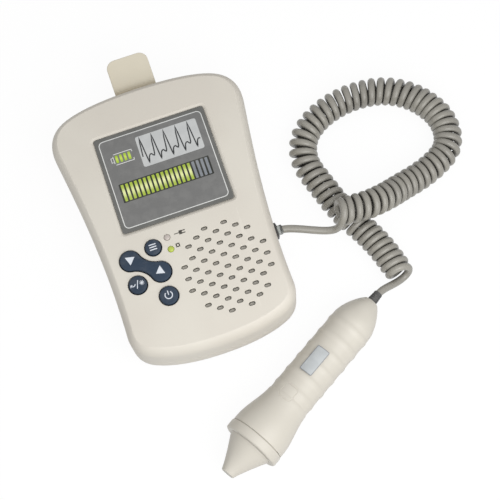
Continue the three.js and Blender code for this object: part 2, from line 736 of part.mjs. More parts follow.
const probeBody = () => {
  const stations = [];
  const flareSteps = 5;
  const ridgeSteps = 3;
  const tailSteps = 6;
  const gripStart = ridge.first - ridge.pitch / 2;
  for (let i = 0; i < flareSteps; i += 1) {
    stations.push(bodyStart + (gripStart - bodyStart) * i / flareSteps);
  }
  for (let i = 0; i < ridge.count * ridgeSteps; i += 1) {
    stations.push(gripStart + i * ridge.pitch / ridgeSteps);
  }
  for (let i = 0; i <= tailSteps; i += 1) {
    stations.push(gripEnd + (probeLength - gripEnd) * Math.sin(Math.PI / 2 * i / tailSteps));
  }
  const outer = stations.map((along) => [bodyRadius(along), along]);
  const grip = probeGrip / 2 - ridge.depth - probeWall;
  const inner = [
    [boot.hole, probeLength], [boot.hole, probeLength - probeWall],
    [boot.flange + seatGap, probeLength - 2 * probeWall],
    [grip, gripEnd], [grip, gripStart], [body.start - probeWall, bodyStart],
  ];
  return turned([...outer, ...inner, outer[0]], 18);
};

const probeCollar = () => {
  const outer = probeFlange / 2;
  const end = collarStart + collar.length;
  return turned([
    [collar.bore, collarStart], [outer - collar.round, collarStart], [outer, collarStart + collar.round],
    [outer, end - collar.round], [outer - collar.round / 2, end],
    [collar.bore, end], [collar.bore, collarStart],
  ], 24);
};

const probeNose = () => {
  const steps = 5;
  const outer = Array.from({ length: steps + 1 }, (_, i) => {
    const t = i / steps;
    return [nose.tip + (nose.base - nose.tip) * t ** 1.15, nose.length * t];
  });
  const coreEnd = transducer.lens + transducer.crystal + transducer.backing;
  return turned([
    ...outer, [nose.mouth, nose.length], [nose.bore, coreEnd + transducer.lens], [nose.bore, 0], outer[0],
  ], 18);
};

const crystalStart = transducer.lens + seatGap;
const backingStart = crystalStart + transducer.crystal + seatGap;
const halfCrystal = (side) => {
  const disc = bar(transducer.radius, crystalStart, crystalStart + transducer.crystal, 16);
  const gap = side * transducer.split / 2;
  const reach = side * transducer.radius * 2;
  return common(disc, block(
    [Math.min(gap, reach), -2 * transducer.radius, 0],
    [Math.max(gap, reach), 2 * transducer.radius, probeWall * 2],
  ));
};

const probeBoard = { length: 44, width: 15.6, thickness: 1.2, start: 46.5 };
const label = { length: 14.1, width: 6.7, thickness: 0.35, centre: 64.7, turn: THREE.MathUtils.degToRad(7) };

const probeLabel = () => {
  const inner = probeGrip / 2 + seatGap;
  const half = label.width / 2 / inner;
  const shape = new THREE.Shape();
  shape.absarc(0, 0, inner + label.thickness, -half, half);
  shape.absarc(0, 0, inner, half, -half, true);
  return plate(shape, label.centre - label.length / 2, label.centre + label.length / 2, 3);
};

const cordBoot = () => turned([
  [0, probeLength - boot.inside], [boot.flange, probeLength - boot.inside],
  [boot.flange, probeLength - boot.inside + boot.flangeLength],
  [boot.radius, probeLength - boot.inside + boot.flangeLength],
  [boot.radius, probeLength + boot.outside - boot.radius / 5],
  [boot.radius * 0.85, probeLength + boot.outside], [0, probeLength + boot.outside],
], 16);

// Where the probe lies: its flange and its tail both touch the table

const probeTip = new THREE.Vector2(-17, -123.7);
const probeTurn = THREE.MathUtils.degToRad(31.5);
const flangeAlong = collarStart + collar.length / 2;
const tailAlong = gripEnd;
const probeDip = Math.asin((probeFlange - probeGrip) / 2 / (tailAlong - flangeAlong));
const tableGap = 0.15;
const probeTipZ = probeFlange / 2 * Math.cos(probeDip) + flangeAlong * Math.sin(probeDip) + tableGap;

const probe = new THREE.Group();
probe.position.set(probeTip.x, probeTip.y, probeTipZ);
probe.rotation.set(0, Math.PI / 2 + probeDip, probeTurn, "ZYX");
probe.updateMatrixWorld(true);
const onProbe = (radius, along) => new THREE.Vector3(radius, 0, along).applyMatrix4(probe.matrixWorld);

// Cord: the lead from the plug, the curly stretch and the lead to the probe, by routes chosen by hand

const plugStub = cordDiameter / 2;
const leadInRoute = [
  new THREE.Vector3(plugEnd + seatGap, jackY, jackZ),
  new THREE.Vector3(plugEnd + seatGap + plugStub, jackY, jackZ),
  new THREE.Vector3(54.5, -25.6, 18.5),
  new THREE.Vector3(61.3, -29, 19.8),
];
const coilRoute = [
  [71.9, -24.6, 22], [79.9, -25, 22.3], [88.2, -24.6, 21], [98.1, -22.3, 16.4], [107.6, -18.9, 11.6],
  [117.7, -15.8, 8.4], [127.9, -11.7, 7.2], [135.4, -6.7, 7.2], [139.3, 0.9, 7.2], [138.6, 10.2, 7.2],
  [134.7, 18.5, 7.2], [128.9, 25.3, 7.2], [121.7, 30.4, 7.2], [114.3, 33.3, 7.2], [105.7, 34.6, 7.2],
  [96.7, 34.4, 7.2], [87.7, 32.5, 7.2], [79.4, 28.9, 7.2], [72.6, 23.4, 7.2], [68.7, 16, 7.2],
  [68, 8.3, 7.2], [69.9, 0.5, 7.2], [72.4, -7.5, 7.2], [75, -15.8, 7.2], [78.9, -24.8, 7.2],
  [83.4, -33.2, 7.2], [87, -41.2, 7.2], [89.5, -48.7, 7.2], [91.3, -56.1, 7.2], [92.4, -61.3, 7.2],
].map(([x, y, z]) => new THREE.Vector3(x, y, z));

const curveThrough = (points) => new THREE.CatmullRomCurve3(points, false, "centripetal");

// Middle of the curly cord on fine points. The cord starts beside the coil's axis and along it, the
// curls then wind left handed at a pitch that widens where the axis bends, and the last half curl opens.
const coilPath = (() => {
  const axis = curveThrough(coilRoute);
  axis.arcLengthDivisions = 900;
  const length = axis.getLength();
  const fine = 4200;
  const windIn = 9;
  const windOut = 7;
  const straight = cordDiameter;
  const up = new THREE.Vector3(0, 0, 1);
  const weights = [];
  const frames = [];
  for (let i = 0; i <= fine; i += 1) {
    const u = i / fine;
    const reach = u * length;
    const along = axis.getTangentAt(u);
    const side = new THREE.Vector3().crossVectors(up, along).normalize();
    frames.push({ at: axis.getPointAt(u), along, side, lift: new THREE.Vector3().crossVectors(along, side) });
    const span = 0.02;
    const before = axis.getTangentAt(Math.max(0, u - span));
    const after = axis.getTangentAt(Math.min(1, u + span));
    const bend = before.angleTo(after) / (2 * span * length);
    const opening = THREE.MathUtils.smoothstep(reach, straight, straight + windIn);
    const closing = 1 - THREE.MathUtils.smoothstep(reach, length - windOut, length) / 2;
    weights.push((1 - bend * curlRadius) * opening * closing);
  }
  const total = weights.reduce((sum, weight) => sum + weight, 0);
  const openTurn = 0.82; // share of a turn after the last whole curl
  const sweep = 2 * Math.PI * (curlCount + openTurn);
  let phase = 0;
  return frames.map(({ at, side, lift }, i) => {
    phase += sweep * weights[i] / total;
    const angle = Math.PI - phase;
    const centre = at.clone()
      .addScaledVector(side, curlRadius * Math.cos(angle))
      .addScaledVector(lift, curlRadius * Math.sin(angle));
    return { centre, phase };
  });
})();

// Ring centres along the curly cord: eight to a curl, and at each end a straight run
const coilCentres = (() => {
  const stepAngle = Math.PI / 4;
  const stepLength = cordDiameter;
  const first = coilPath[0].centre;
  const heading = coilPath[1].centre.clone().sub(first).normalize();
  const centres = [first.clone()];
  let [lastPhase, lastAt] = [0, first];
  for (const { centre, phase } of coilPath) {
    if (phase - lastPhase >= stepAngle || centre.distanceTo(lastAt) >= stepLength) {
      centres.push(centre.clone());
      [lastPhase, lastAt] = [phase, centre];
    }
  }
  const [near, end] = centres.slice(-2);
  const away = coilPath.at(-1).centre.clone().sub(coilPath.at(-6).centre).normalize();
  if (end.distanceTo(near) < stepLength / 2) centres.pop();
  centres.push(centres.at(-1).clone().addScaledVector(away, cordDiameter));
  return { centres, heading, away };
})();

// A tube of flat sided rings through a list of centres, its ends square to the given directions
const ringTube = (centres, startWay, endWay, radius, sides) => {
  const ways = centres.map((centre, i) => {
    if (i === 0) return startWay.clone();
    if (i === centres.length - 1) return endWay.clone();
    return centres[i + 1].clone().sub(centres[i - 1]).normalize();
  });
  const across = new THREE.Vector3(0, 0, 1).cross(ways[0]).normalize();
  const positions = [];
  const corners = [];
  centres.forEach((centre, level) => {
    if (level > 0) {
      const turn = new THREE.Quaternion().setFromUnitVectors(ways[level - 1], ways[level]);
      across.applyQuaternion(turn);
    }
    const other = new THREE.Vector3().crossVectors(ways[level], across);
    for (let k = 0; k < sides; k += 1) {
      const angle = 2 * Math.PI * k / sides;
      const point = centre.clone()
        .addScaledVector(across, radius * Math.cos(angle))
        .addScaledVector(other, radius * Math.sin(angle));
      positions.push(point.x, point.y, point.z);
      if (level > 0) {
        const [a, b] = [level * sides + k, level * sides + (k + 1) % sides];
        corners.push(a - sides, b - sides, b, a - sides, b, a);
      }
    }
  });
  const last = (centres.length - 1) * sides;
  for (let k = 1; k + 1 < sides; k += 1) {
    corners.push(0, k + 1, k);
    corners.push(last, last + k, last + k + 1);
  }
  const geometry = new THREE.BufferGeometry();
  geometry.setAttribute("position", new THREE.Float32BufferAttribute(positions, 3));
  geometry.setIndex(corners);
  return geometry;
};

const curlySides = 5;
const cordCoil = () => ringTube(
  coilCentres.centres, coilCentres.heading, coilCentres.away, cordDiameter / 2, curlySides,
);

// Least gap of the curly cord to itself, between points that lie more than half a curl apart
const leastGap = (() => {
  const { centres } = coilCentres;
  const apart = 5;
  const points = centres.flatMap((centre, i) => (
    i + 1 < centres.length
      ? [0, 0.25, 0.5, 0.75].map((t) => ({ at: centre.clone().lerp(centres[i + 1], t), ring: i + t }))
      : []));
  let least = Infinity;
  for (let i = 0; i < points.length; i += 1) {
    for (let j = i + 1; j < points.length; j += 1) {
      if (points[j].ring - points[i].ring < apart) continue;
      least = Math.min(least, points[i].at.distanceTo(points[j].at));
    }
  }
  return least - cordDiameter;
})();
console.log(`curly cord: ${curlCount} curls, least gap to itself ${leastGap.toFixed(2)} mm`);

const cordTube = (points) => {
  const path = curveThrough(points);
  const ring = new THREE.Shape();
  ring.absarc(0, 0, cordDiameter / 2, 0, 2 * Math.PI);
  const steps = Math.ceil(path.getLength() / (1.2 * cordDiameter));
  return new THREE.ExtrudeGeometry(ring, { steps, extrudePath: path, curveSegments: 8 });
};

const cordLeadIn = () => {
  const { centres, heading } = coilCentres;
  const end = centres[0].clone().addScaledVector(heading, -seatGap);
  return cordTube([...leadInRoute, end.clone().addScaledVector(heading, -cordDiameter), end]);
};

const cordLeadOut = () => {
  const { centres, away } = coilCentres;
  const start = centres.at(-1).clone().addScaledVector(away, seatGap);
  const end = onProbe(0, probeLength + boot.outside + seatGap);
  const before = onProbe(0, probeLength + boot.outside + seatGap + plugStub);
  return cordTube([start, start.clone().addScaledVector(away, cordDiameter), before, end]);
};

// Materials

const paint = (color, roughness, metalness = 0) =>
  new THREE.MeshStandardMaterial({ color, roughness, metalness });
const ivory = paint(0xd9d3c7, 0.55);
const cream = paint(0xd8d0bc, 0.5);
const navy = paint(0x37485f, 0.6);
const slate = paint(0x6c6c6c, 0.45);
const glass = paint(0x9aa6a0, 0.15);
const green = paint(0xc3d23c, 0.35);
const paleLamp = paint(0xb4aaa5, 0.4);
const circuit = paint(0x2f6b46, 0.6);
const black = paint(0x242426, 0.55);
const silicone = paint(0x4a5a70, 0.8);
const steel = paint(0xb4b6b8, 0.35, 0.9);
const brass = paint(0xc9b079, 0.35, 0.9);
const paper = paint(0x2a2a2c, 0.9);
const cellJacket = paint(0x3f4650, 0.4, 0.2);
const clear = paint(0xbfc3c4, 0.2);
const cordGrey = paint(0xa09b94, 0.7);
const bootGrey = paint(0x646464, 0.75);
const ceramic = paint(0xd8cfa8, 0.5);
const resin = paint(0x5a5148, 0.7);
const silver = paint(0xcdd2d6, 0.3, 0.5);

// Assembly

const group = new THREE.Group();
const add = (parent, name, geometry, material, place = [0, 0, 0], turn = [0, 0, 0]) => {
  const mesh = new THREE.Mesh(welded(geometry), material);
  mesh.name = name;
  mesh.position.set(...place);
  mesh.rotation.set(...turn);
  parent.add(mesh);
  return mesh;
};

add(group, "front_cover", frontCover(), ivory);
add(group, "rear_cover", rearCover(), ivory);
add(group, "battery_door", batteryDoor(), ivory);
add(group, "display_overlay", displayOverlay(), slate);
add(group, "lcd_glass", centredBlock(panelAt, glassWidth, glassHeight, glassBottom, glassTop), glass);
add(group, "lcd_light_guide", centredBlock(
  panelAt, glassWidth, glassHeight, boardTop + seatGap, glassBottom - seatGap), clear);
add(group, "lcd_frame", lcdFrame(), black);
add(group, "main_board", mainBoard(), circuit);
add(group, "keypad_mat", keypadMat(), silicone);

add(group, "key_mode", roundCap(modeKey.radius), navy, [modeKey.x, modeKey.y, 0]);
add(group, "key_sound", roundCap(soundKey.radius), navy, [soundKey.x, soundKey.y, 0]);
add(group, "key_power", roundCap(powerKey.radius), navy, [powerKey.x, powerKey.y, 0]);
add(group, "key_rocker", rockerCap(), navy, [rocker.x, rocker.y, 0], [0, 0, rocker.turn]);

add(group, "led_status", lamp(), paleLamp, [ledPlaces[0].x, ledPlaces[0].y, 0]);
add(group, "led_power", lamp(), green, [ledPlaces[1].x, ledPlaces[1].y, 0]);

const speakerPlace = [grilleAt.x, grilleAt.y, 0];
add(group, "grille_mesh", grilleMeshDisc(), steel);
add(group, "speaker_basket", speakerBasket(), steel, speakerPlace);
add(group, "speaker_cone", speakerCone(), paper, speakerPlace);
add(group, "speaker_magnet", bar(speaker.magnetRadius, basketBottom, magnetTop, 24), steel, speakerPlace);

add(group, "battery_upper", cell(), cellJacket, [0, cellY[0], cellZ]);
add(group, "battery_lower", cell(), cellJacket, [0, cellY[1], cellZ], [0, 0, Math.PI]);
add(group, "contact_bridge", contactPlate(-1, batteryY, batteryDiameter + contact.width), brass);
add(group, "contact_upper", contactPlate(1, cellY[0], contact.width), brass);
add(group, "contact_lower", contactPlate(1, cellY[1], contact.width), brass);

caseScrewPlaces.forEach(({ x, y }, i) => {
  const length = caseScrew.ledge + caseScrew.bite;
  add(group, `case_screw_${i + 1}`, screw(caseScrew, length), steel, [x, y, screwSink - seatGap]);
});
boardScrewPlaces.forEach(({ x, y }, i) => {
  const length = boardThickness + boardScrew.bite;
  add(group, `board_screw_${i + 1}`, screw(boardScrew, length), steel, [x, y, boardBottom - seatGap]);
});

add(group, "probe_holder", probeHolder(), cream);
holderScrewPlaces.forEach(({ x, y }, i) => {
  add(group, `holder_screw_${i + 1}`, screw(holder, holder.plate + holder.bite / 2), steel,
    [x, holderFoot + holder.plate + seatGap, y], [Math.PI / 2, 0, 0]);
});

add(group, "modular_jack", modularJack(), black);
add(group, "modular_plug", modularPlug(), clear);
add(group, "cord_lead_in", cordLeadIn(), cordGrey);
add(group, "cord_coil", cordCoil(), cordGrey);
add(group, "cord_lead_out", cordLeadOut(), cordGrey);

group.add(probe);
add(probe, "probe_nose", probeNose(), cream);
add(probe, "probe_collar", probeCollar(), cream);
add(probe, "probe_body", probeBody(), cream);
add(probe, "probe_lens", bar(transducer.radius, 0, transducer.lens, 16), ceramic);
add(probe, "crystal_transmit", halfCrystal(-1), ceramic);
add(probe, "crystal_receive", halfCrystal(1), ceramic);
const backingEnd = backingStart + transducer.backing;
add(probe, "crystal_backing", bar(transducer.radius, backingStart, backingEnd, 16), resin);
add(probe, "probe_board", block(
  [-probeBoard.thickness / 2, -probeBoard.width / 2, probeBoard.start],
  [probeBoard.thickness / 2, probeBoard.width / 2, probeBoard.start + probeBoard.length],
), circuit);
add(probe, "probe_label", probeLabel(), silver, [0, 0, 0], [0, 0, Math.PI - label.turn]);
add(probe, "cord_boot", cordBoot(), bootGrey);

export default group;
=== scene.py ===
"""Looks of a handheld vascular doppler: a display unit, a pencil probe and the curly cord between them.

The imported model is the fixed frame. Sizes here are millimetres in that frame: X runs across the unit, Y
from its foot to its probe holder, Z out of its face, and the origin is the middle of the flat back.
"""

import logging
from bisect import bisect_right
from dataclasses import dataclass, field
from enum import Enum
from functools import cache
from math import asin, atan2, cos, dist, hypot, pi, radians, sin, sqrt
from typing import Callable, Iterable, Sequence

import bmesh
import bpy
from mathutils import Matrix, Vector


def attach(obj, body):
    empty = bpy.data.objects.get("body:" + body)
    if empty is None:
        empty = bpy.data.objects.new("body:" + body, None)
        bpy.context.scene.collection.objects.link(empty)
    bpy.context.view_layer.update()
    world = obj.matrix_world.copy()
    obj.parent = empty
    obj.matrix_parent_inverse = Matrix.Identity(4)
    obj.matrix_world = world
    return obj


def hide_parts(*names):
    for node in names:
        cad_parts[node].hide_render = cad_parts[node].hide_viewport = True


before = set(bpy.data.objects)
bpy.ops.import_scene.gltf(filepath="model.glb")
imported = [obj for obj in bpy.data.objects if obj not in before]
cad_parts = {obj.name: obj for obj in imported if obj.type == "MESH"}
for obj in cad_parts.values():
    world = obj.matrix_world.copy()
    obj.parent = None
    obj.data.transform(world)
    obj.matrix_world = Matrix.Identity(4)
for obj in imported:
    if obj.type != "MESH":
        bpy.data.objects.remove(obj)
log = logging.getLogger("doppler")

MM = 0.001
WELD = 1e-7
SLIVER = 1e-8
NEAR = 1e-3
OVERRUN = 2.0
QUARTER = pi / 2
LIP_BENDS = tuple(radians(a) for a in (0, 25, 50, 72, 86))
EDGE_BENDS = tuple(radians(a) for a in (0, 18, 36, 54, 72, 86))
Point = tuple[float, float]
Spot = tuple[float, float, float]
Ring = list[Spot]
Points = Sequence[Point]
Levels = Points
Outline = Callable[[float], list[Point]]
Place = Callable[[float, float, float], Spot]
Rgb = tuple[int, int, int]
Stroke = tuple[Points, float]
Piece = bpy.types.Object
Node = bpy.types.Node
Output = bpy.types.NodeSocket
Tree = bpy.types.NodeTree

# noise scales, in waves to a metre
FLOW_SCALE = 90.0
SPECKLE_SCALE = 1900.0
RUB_SCALE = 240.0
SMEAR_SCALE = 55.0
DUST_SCALE = 120.0
DUST_TINT: Rgb = (206, 202, 194)


class Body(Enum):
    """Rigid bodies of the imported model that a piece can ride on."""

    UNIT = "unit"
    KEY_MODE = "key_mode"
    KEY_SOUND = "key_sound"
    KEY_POWER = "key_power"
    KEY_ROCKER = "key_rocker"
    DOOR = "battery_door"


class Carve(Enum):
    """Ways in which one solid works on another."""

    CUT = "DIFFERENCE"
    JOIN = "UNION"
    COMMON = "INTERSECT"


class Socket(Enum):
    """Kinds of socket on a shader group."""

    VECTOR = "NodeSocketVector"
    COLOUR = "NodeSocketColor"
    VALUE = "NodeSocketFloat"


def shown(name: str, data: bpy.types.ID) -> Piece:
    """Puts an object into the scene."""
    made = bpy.data.objects.new(name, data)
    bpy.context.scene.collection.objects.link(made)
    return made


class Parts:
    """Vertices and the faces between them, which others can be put beside."""

    def __init__(self) -> None:
        """Starts with nothing in it."""
        self.vertices: list = []
        self.faces: list[tuple[int, ...]] = []

    def plus(self, *others: "Parts") -> "Parts":
        """This one with the others beside it."""
        for other in others:
            base = len(self.vertices)
            self.vertices.extend(other.vertices)
            self.faces.extend(tuple(base + i for i in face) for face in other.faces)
        return self


class Form(Parts):
    """Vertices in millimetres and the faces between them, before they become a piece."""

    def rings(self, rings: Sequence[Ring], looped: bool = False) -> "Form":
        """Adds a skin over rings of equal count.

        Args:
            rings: the rings in order, each a closed list of places.
            looped: whether the last ring joins the first, and no cap closes the ends.

        Returns:
            This form.
        """
        base, count, levels = len(self.vertices), len(rings[0]), len(rings)
        for ring in rings:
            self.vertices.extend(ring)
        for level in range(levels if looped else levels - 1):
            here = base + level * count
            there = base + (level + 1) % levels * count
            for i in range(count):
                j = (i + 1) % count
                self.faces.append((here + i, here + j, there + j, there + i))
        if not looped:
            last = base + (levels - 1) * count
            self.faces.append(tuple(range(base + count - 1, base - 1, -1)))
            self.faces.append(tuple(range(last, last + count)))
        return self

    def layers(self, levels: Sequence[tuple[Outline, float, float]]) -> "Form":
        """Adds a solid of several outlines, each grown by a distance at a height."""
        return self.rings([[(x, y, z) for x, y in outline(grow)] for outline, grow, z in levels])

    def stack(self, outline: Outline, levels: Levels) -> "Form":
        """Adds a solid of one outline, grown by each level's first number at the height of its second."""
        return self.layers([(outline, grow, z) for grow, z in levels])

    def turned(self, profile: Levels, sides: int) -> "Form":
        """Adds a solid turned about Z.

        Args:
            profile: radius and height of each station. It is closed where the last is the first.
            sides: sides of a full turn.

        Returns:
            This form.
        """
        closed = profile[0] == profile[-1]
        stations = profile[:-1] if closed else profile
        turn = 2 * pi / sides
        return self.rings([
            [(r * cos(i * turn), r * sin(i * turn), z) for i in range(sides)]
            for r, z in stations
        ], looped=closed)

    def tube(self, centres: Sequence[Vector], radius: float, sides: int, looped: bool = False) -> "Form":
        """Adds a round tube along centres.

        Args:
            centres: places along the middle of the tube.
            radius: radius of the tube.
            sides: sides of each ring.
            looped: whether the tube closes on itself.

        Returns:
            This form.
        """
        count = len(centres)
        ways = []
        for i in range(count):
            after = centres[(i + 1) % count] if looped else centres[min(i + 1, count - 1)]
            before = centres[i - 1] if looped or i else centres[0]
            ways.append((after - before).normalized())
        across = ways[0].orthogonal().normalized()
        rings = []
        for i, (centre, way) in enumerate(zip(centres, ways)):
            if i:
                across = ways[i - 1].rotation_difference(way) @ across
                across = (across - way * across.dot(way)).normalized()
            other = way.cross(across)
            rings.append([tuple(centre + across * u + other * v) for u, v in circle(radius, sides)(0)])
        return self.rings(rings, looped)

    def placed(self, matrix: Matrix) -> "Form":
        """This form with every vertex moved by a matrix."""
        self.vertices = [tuple(matrix @ Vector(v)) for v in self.vertices]
        return self

    def at(self, x: float, y: float, z: float = 0) -> "Form":
        """This form, moved along by x, y and z."""
        return self.placed(Matrix.Translation((x, y, z)))

    def mesh(self, name: str) -> Piece:
        """Makes the Blender object, in metres, with welded vertices and faces that look outwards."""
        mesh = bpy.data.meshes.new(name)
        mesh.from_pydata([(x * MM, y * MM, z * MM) for x, y, z in self.vertices], [], self.faces)
        work = bmesh.new()
        work.from_mesh(mesh)
        bmesh.ops.remove_doubles(work, verts=work.verts, dist=WELD)
        bmesh.ops.dissolve_degenerate(work, edges=work.edges, dist=SLIVER)
        bmesh.ops.recalc_face_normals(work, faces=work.faces)
        work.to_mesh(mesh)
        work.free()
        return shown(name, mesh)


class Flat(Parts):
    """Artwork in two dimensions, which is then laid on a surface as a thin solid."""

    MITRE = 0.35

    def polygon(self, points: Points) -> "Flat":
        """Adds one filled shape, its points counter clockwise."""
        base = len(self.vertices)
        self.vertices.extend(points)
        self.faces.append(tuple(range(base, base + len(points))))
        return self

    def strip(self, rows: Sequence[tuple[Point, Point]], looped: bool = False) -> "Flat":
        """Adds a band of quads between pairs of points."""
        base = len(self.vertices)
        for left, right in rows:
            self.vertices.extend((left, right))
        count = len(rows)
        for i in range(count if looped else count - 1):
            a, b = base + 2 * i, base + 2 * ((i + 1) % count)
            self.faces.append((a, a + 1, b + 1, b))
        return self

    def stroke(self, points: Points, width: float, looped: bool = False) -> "Flat":
        """Adds a line of one width with mitred corners.

        Args:
            points: the places that the line passes.
            width: its width.
            looped: whether it ends where it starts.

        Returns:
            This artwork.
        """
        rows = []
        count = len(points)
        spots = [Vector(p) for p in points]
        for i, spot in enumerate(spots):
            before = spots[i - 1] if looped or i else spot
            after = spots[(i + 1) % count] if looped or i + 1 < count else spot
            into = (spot - before).normalized() if before != spot else (after - spot).normalized()
            out = (after - spot).normalized() if after != spot else into
            way = (into + out).normalized() if (into + out).length > NEAR else out
            normal = Vector((-way.y, way.x))
            reach = width / 2 / max(self.MITRE, abs(normal.dot(Vector((-out.y, out.x)))))
            rows.append((tuple(spot - normal * reach), tuple(spot + normal * reach)))
        return self.strip(rows, looped)

    def rounded(self, width: float, height: float, corner: float, rows: int = 24) -> "Flat":
        """Adds a filled rectangle with round corners, in rows from its foot to its top."""
        pairs = []
        for i in range(rows + 1):
            y = -height / 2 * cos(pi * i / rows)
            rise = max(0.0, abs(y) - (height / 2 - corner))
            reach = width / 2 - corner + sqrt(max(0.0, corner ** 2 - rise ** 2))
            pairs.append(((-reach, y), (reach, y)))
        return self.strip(pairs)

    def at(self, x: float, y: float) -> "Flat":
        """This artwork, moved along by x and y."""
        self.vertices = [(x + u, y + v) for u, v in self.vertices]
        return self

    def laid(self, place: Place, low: float, high: float) -> Form:
        """Lays the artwork on a surface as a thin solid.

        Args:
            place: gives the spot for a point of the artwork and a height over the surface.
            low: height of its underside.
            high: height of its top.

        Returns:
            The closed form.
        """
        form = Form()
        count = len(self.vertices)
        form.vertices = [place(x, y, high) for x, y in self.vertices] + [place(x, y, low) for x, y in self.vertices]
        sides = dict.fromkeys(side for face in self.faces for side in zip(face, face[1:] + face[:1]))
        for face in self.faces:
            form.faces.extend((face, tuple(i + count for i in reversed(face))))
        for a, b in sides:
            if (b, a) not in sides:
                form.faces.append((b, a, a + count, b + count))
        return form


def polar(radius: float, angle: float, x: float = 0, y: float = 0) -> Point:
    """The point at a distance and an angle from another one."""
    return x + radius * cos(angle), y + radius * sin(angle)


def circle(radius: float, sides: int) -> Outline:
    """Outline of a circle."""
    turn = 2 * pi / sides
    return lambda grow: [polar(radius + grow, i * turn) for i in range(sides)]


def rounded_rect(width: float, height: float, corner: float, steps: int = 8) -> Outline:
    """Outline of a rectangle with round corners."""
    def ring(grow: float) -> list[Point]:
        """The outline at a growth."""
        radius = max(0.02, corner + grow)
        x, y = width / 2 + grow - radius, height / 2 + grow - radius
        points = []
        for quarter, middle in enumerate(((x, y), (-x, y), (-x, -y), (x, -y))):
            points.extend(polar(radius, QUARTER * (quarter + i / steps), *middle) for i in range(steps + 1))
        return points
    return ring


def capsule(length: float, width: float, steps: int) -> Outline:
    """Outline of a slot with round ends, along X."""
    def ring(grow: float) -> list[Point]:
        """The outline at a growth."""
        half = (length - width) / 2
        points = []
        for side, start in ((half, -QUARTER), (-half, QUARTER)):
            points.extend(polar(width / 2 + grow, start + pi * i / steps, side) for i in range(steps + 1))
        return points
    return ring


def shifted(outline: Outline, x: float, y: float, turn: float = 0) -> Outline:
    """The same outline, turned and moved."""
    c, s = cos(turn), sin(turn)
    return lambda grow: [(x + c * u - s * v, y + s * u + c * v) for u, v in outline(grow)]


def divided(outline: Points, parts: int) -> list[Point]:
    """A closed outline with each side cut into equal parts, and no point twice."""
    cut = []
    for (u, v), (p, q) in zip(outline, outline[1:] + outline[:1]):
        cut.extend((u + (p - u) * k / parts, v + (q - v) * k / parts) for k in range(parts))
    return [p for i, p in enumerate(cut) if dist(p, cut[i - 1]) > NEAR]


def drawn(strokes: Iterable[Stroke]) -> Flat:
    """Artwork made of lines, each with its points and its width."""
    art = Flat()
    for points, width in strokes:
        art.stroke(points, width)
    return art


def hole(outline: Outline, low: float, face: float, lip: float) -> Form:
    """A cutter whose mouth is rounded over where it meets the face.

    Args:
        outline: outline of the hole.
        low: height of its lower end.
        face: height of the face that it opens in.
        lip: radius of the rounded mouth.

    Returns:
        The cutter.
    """
    mouth = [(lip * (1 - cos(a)), face - lip + lip * sin(a)) for a in LIP_BENDS]
    return Form().stack(outline, [(0, low), *mouth, (lip, face + OVERRUN)])


def posts(radius: float, low: float, high: float, spots: Points, sides: int = 28) -> Form:
    """Round posts of one size, all from one height to another."""
    form = Form()
    for spot in spots:
        form.plus(Form().stack(circle(radius, sides), [(0, low), (0, high)]).at(*spot))
    return form


def level(z: float) -> Place:
    """Places artwork on a level plane."""
    return lambda x, y, height: (x, y, z + height)


def carve(target: Piece, how: Carve, tool: Form) -> None:
    """Works one solid on another and keeps the result in the target's mesh.

    Args:
        target: the object that changes.
        how: cut, join or common.
        tool: the other solid, or several that stay apart.
    """
    other = tool.mesh("tool")
    step = target.modifiers.new("carve", "BOOLEAN")
    step.operation, step.solver, step.object = how.value, "EXACT", other
    graph = bpy.context.evaluated_depsgraph_get()
    done = bpy.data.meshes.new_from_object(target.evaluated_get(graph))
    target.modifiers.clear()
    target.data = done
    bpy.data.objects.remove(other)


def soften(target: Piece, width: float, segments: int, angle: float) -> None:
    """Rounds the edges of a piece that are sharper than an angle in degrees, by a width in millimetres."""
    step = target.modifiers.new("soft edges", "BEVEL")
    step.width, step.segments, step.limit_method = width * MM, segments, "ANGLE"
    step.angle_limit = radians(angle)
    step.use_clamp_overlap = True


def settle(target: Piece, place: Matrix) -> None:
    """Moves a piece's mesh by a matrix that is written in millimetres."""
    target.data.transform(Matrix.Scale(MM, 4) @ place @ Matrix.Scale(1 / MM, 4))


def linear(colour: Rgb) -> tuple[float, float, float, float]:
    """The linear colour of a colour written as on a screen."""
    parts = [c / 255 for c in colour]
    return (*[p / 12.92 if p <= 0.04045 else ((p + 0.055) / 1.055) ** 2.4 for p in parts], 1.0)


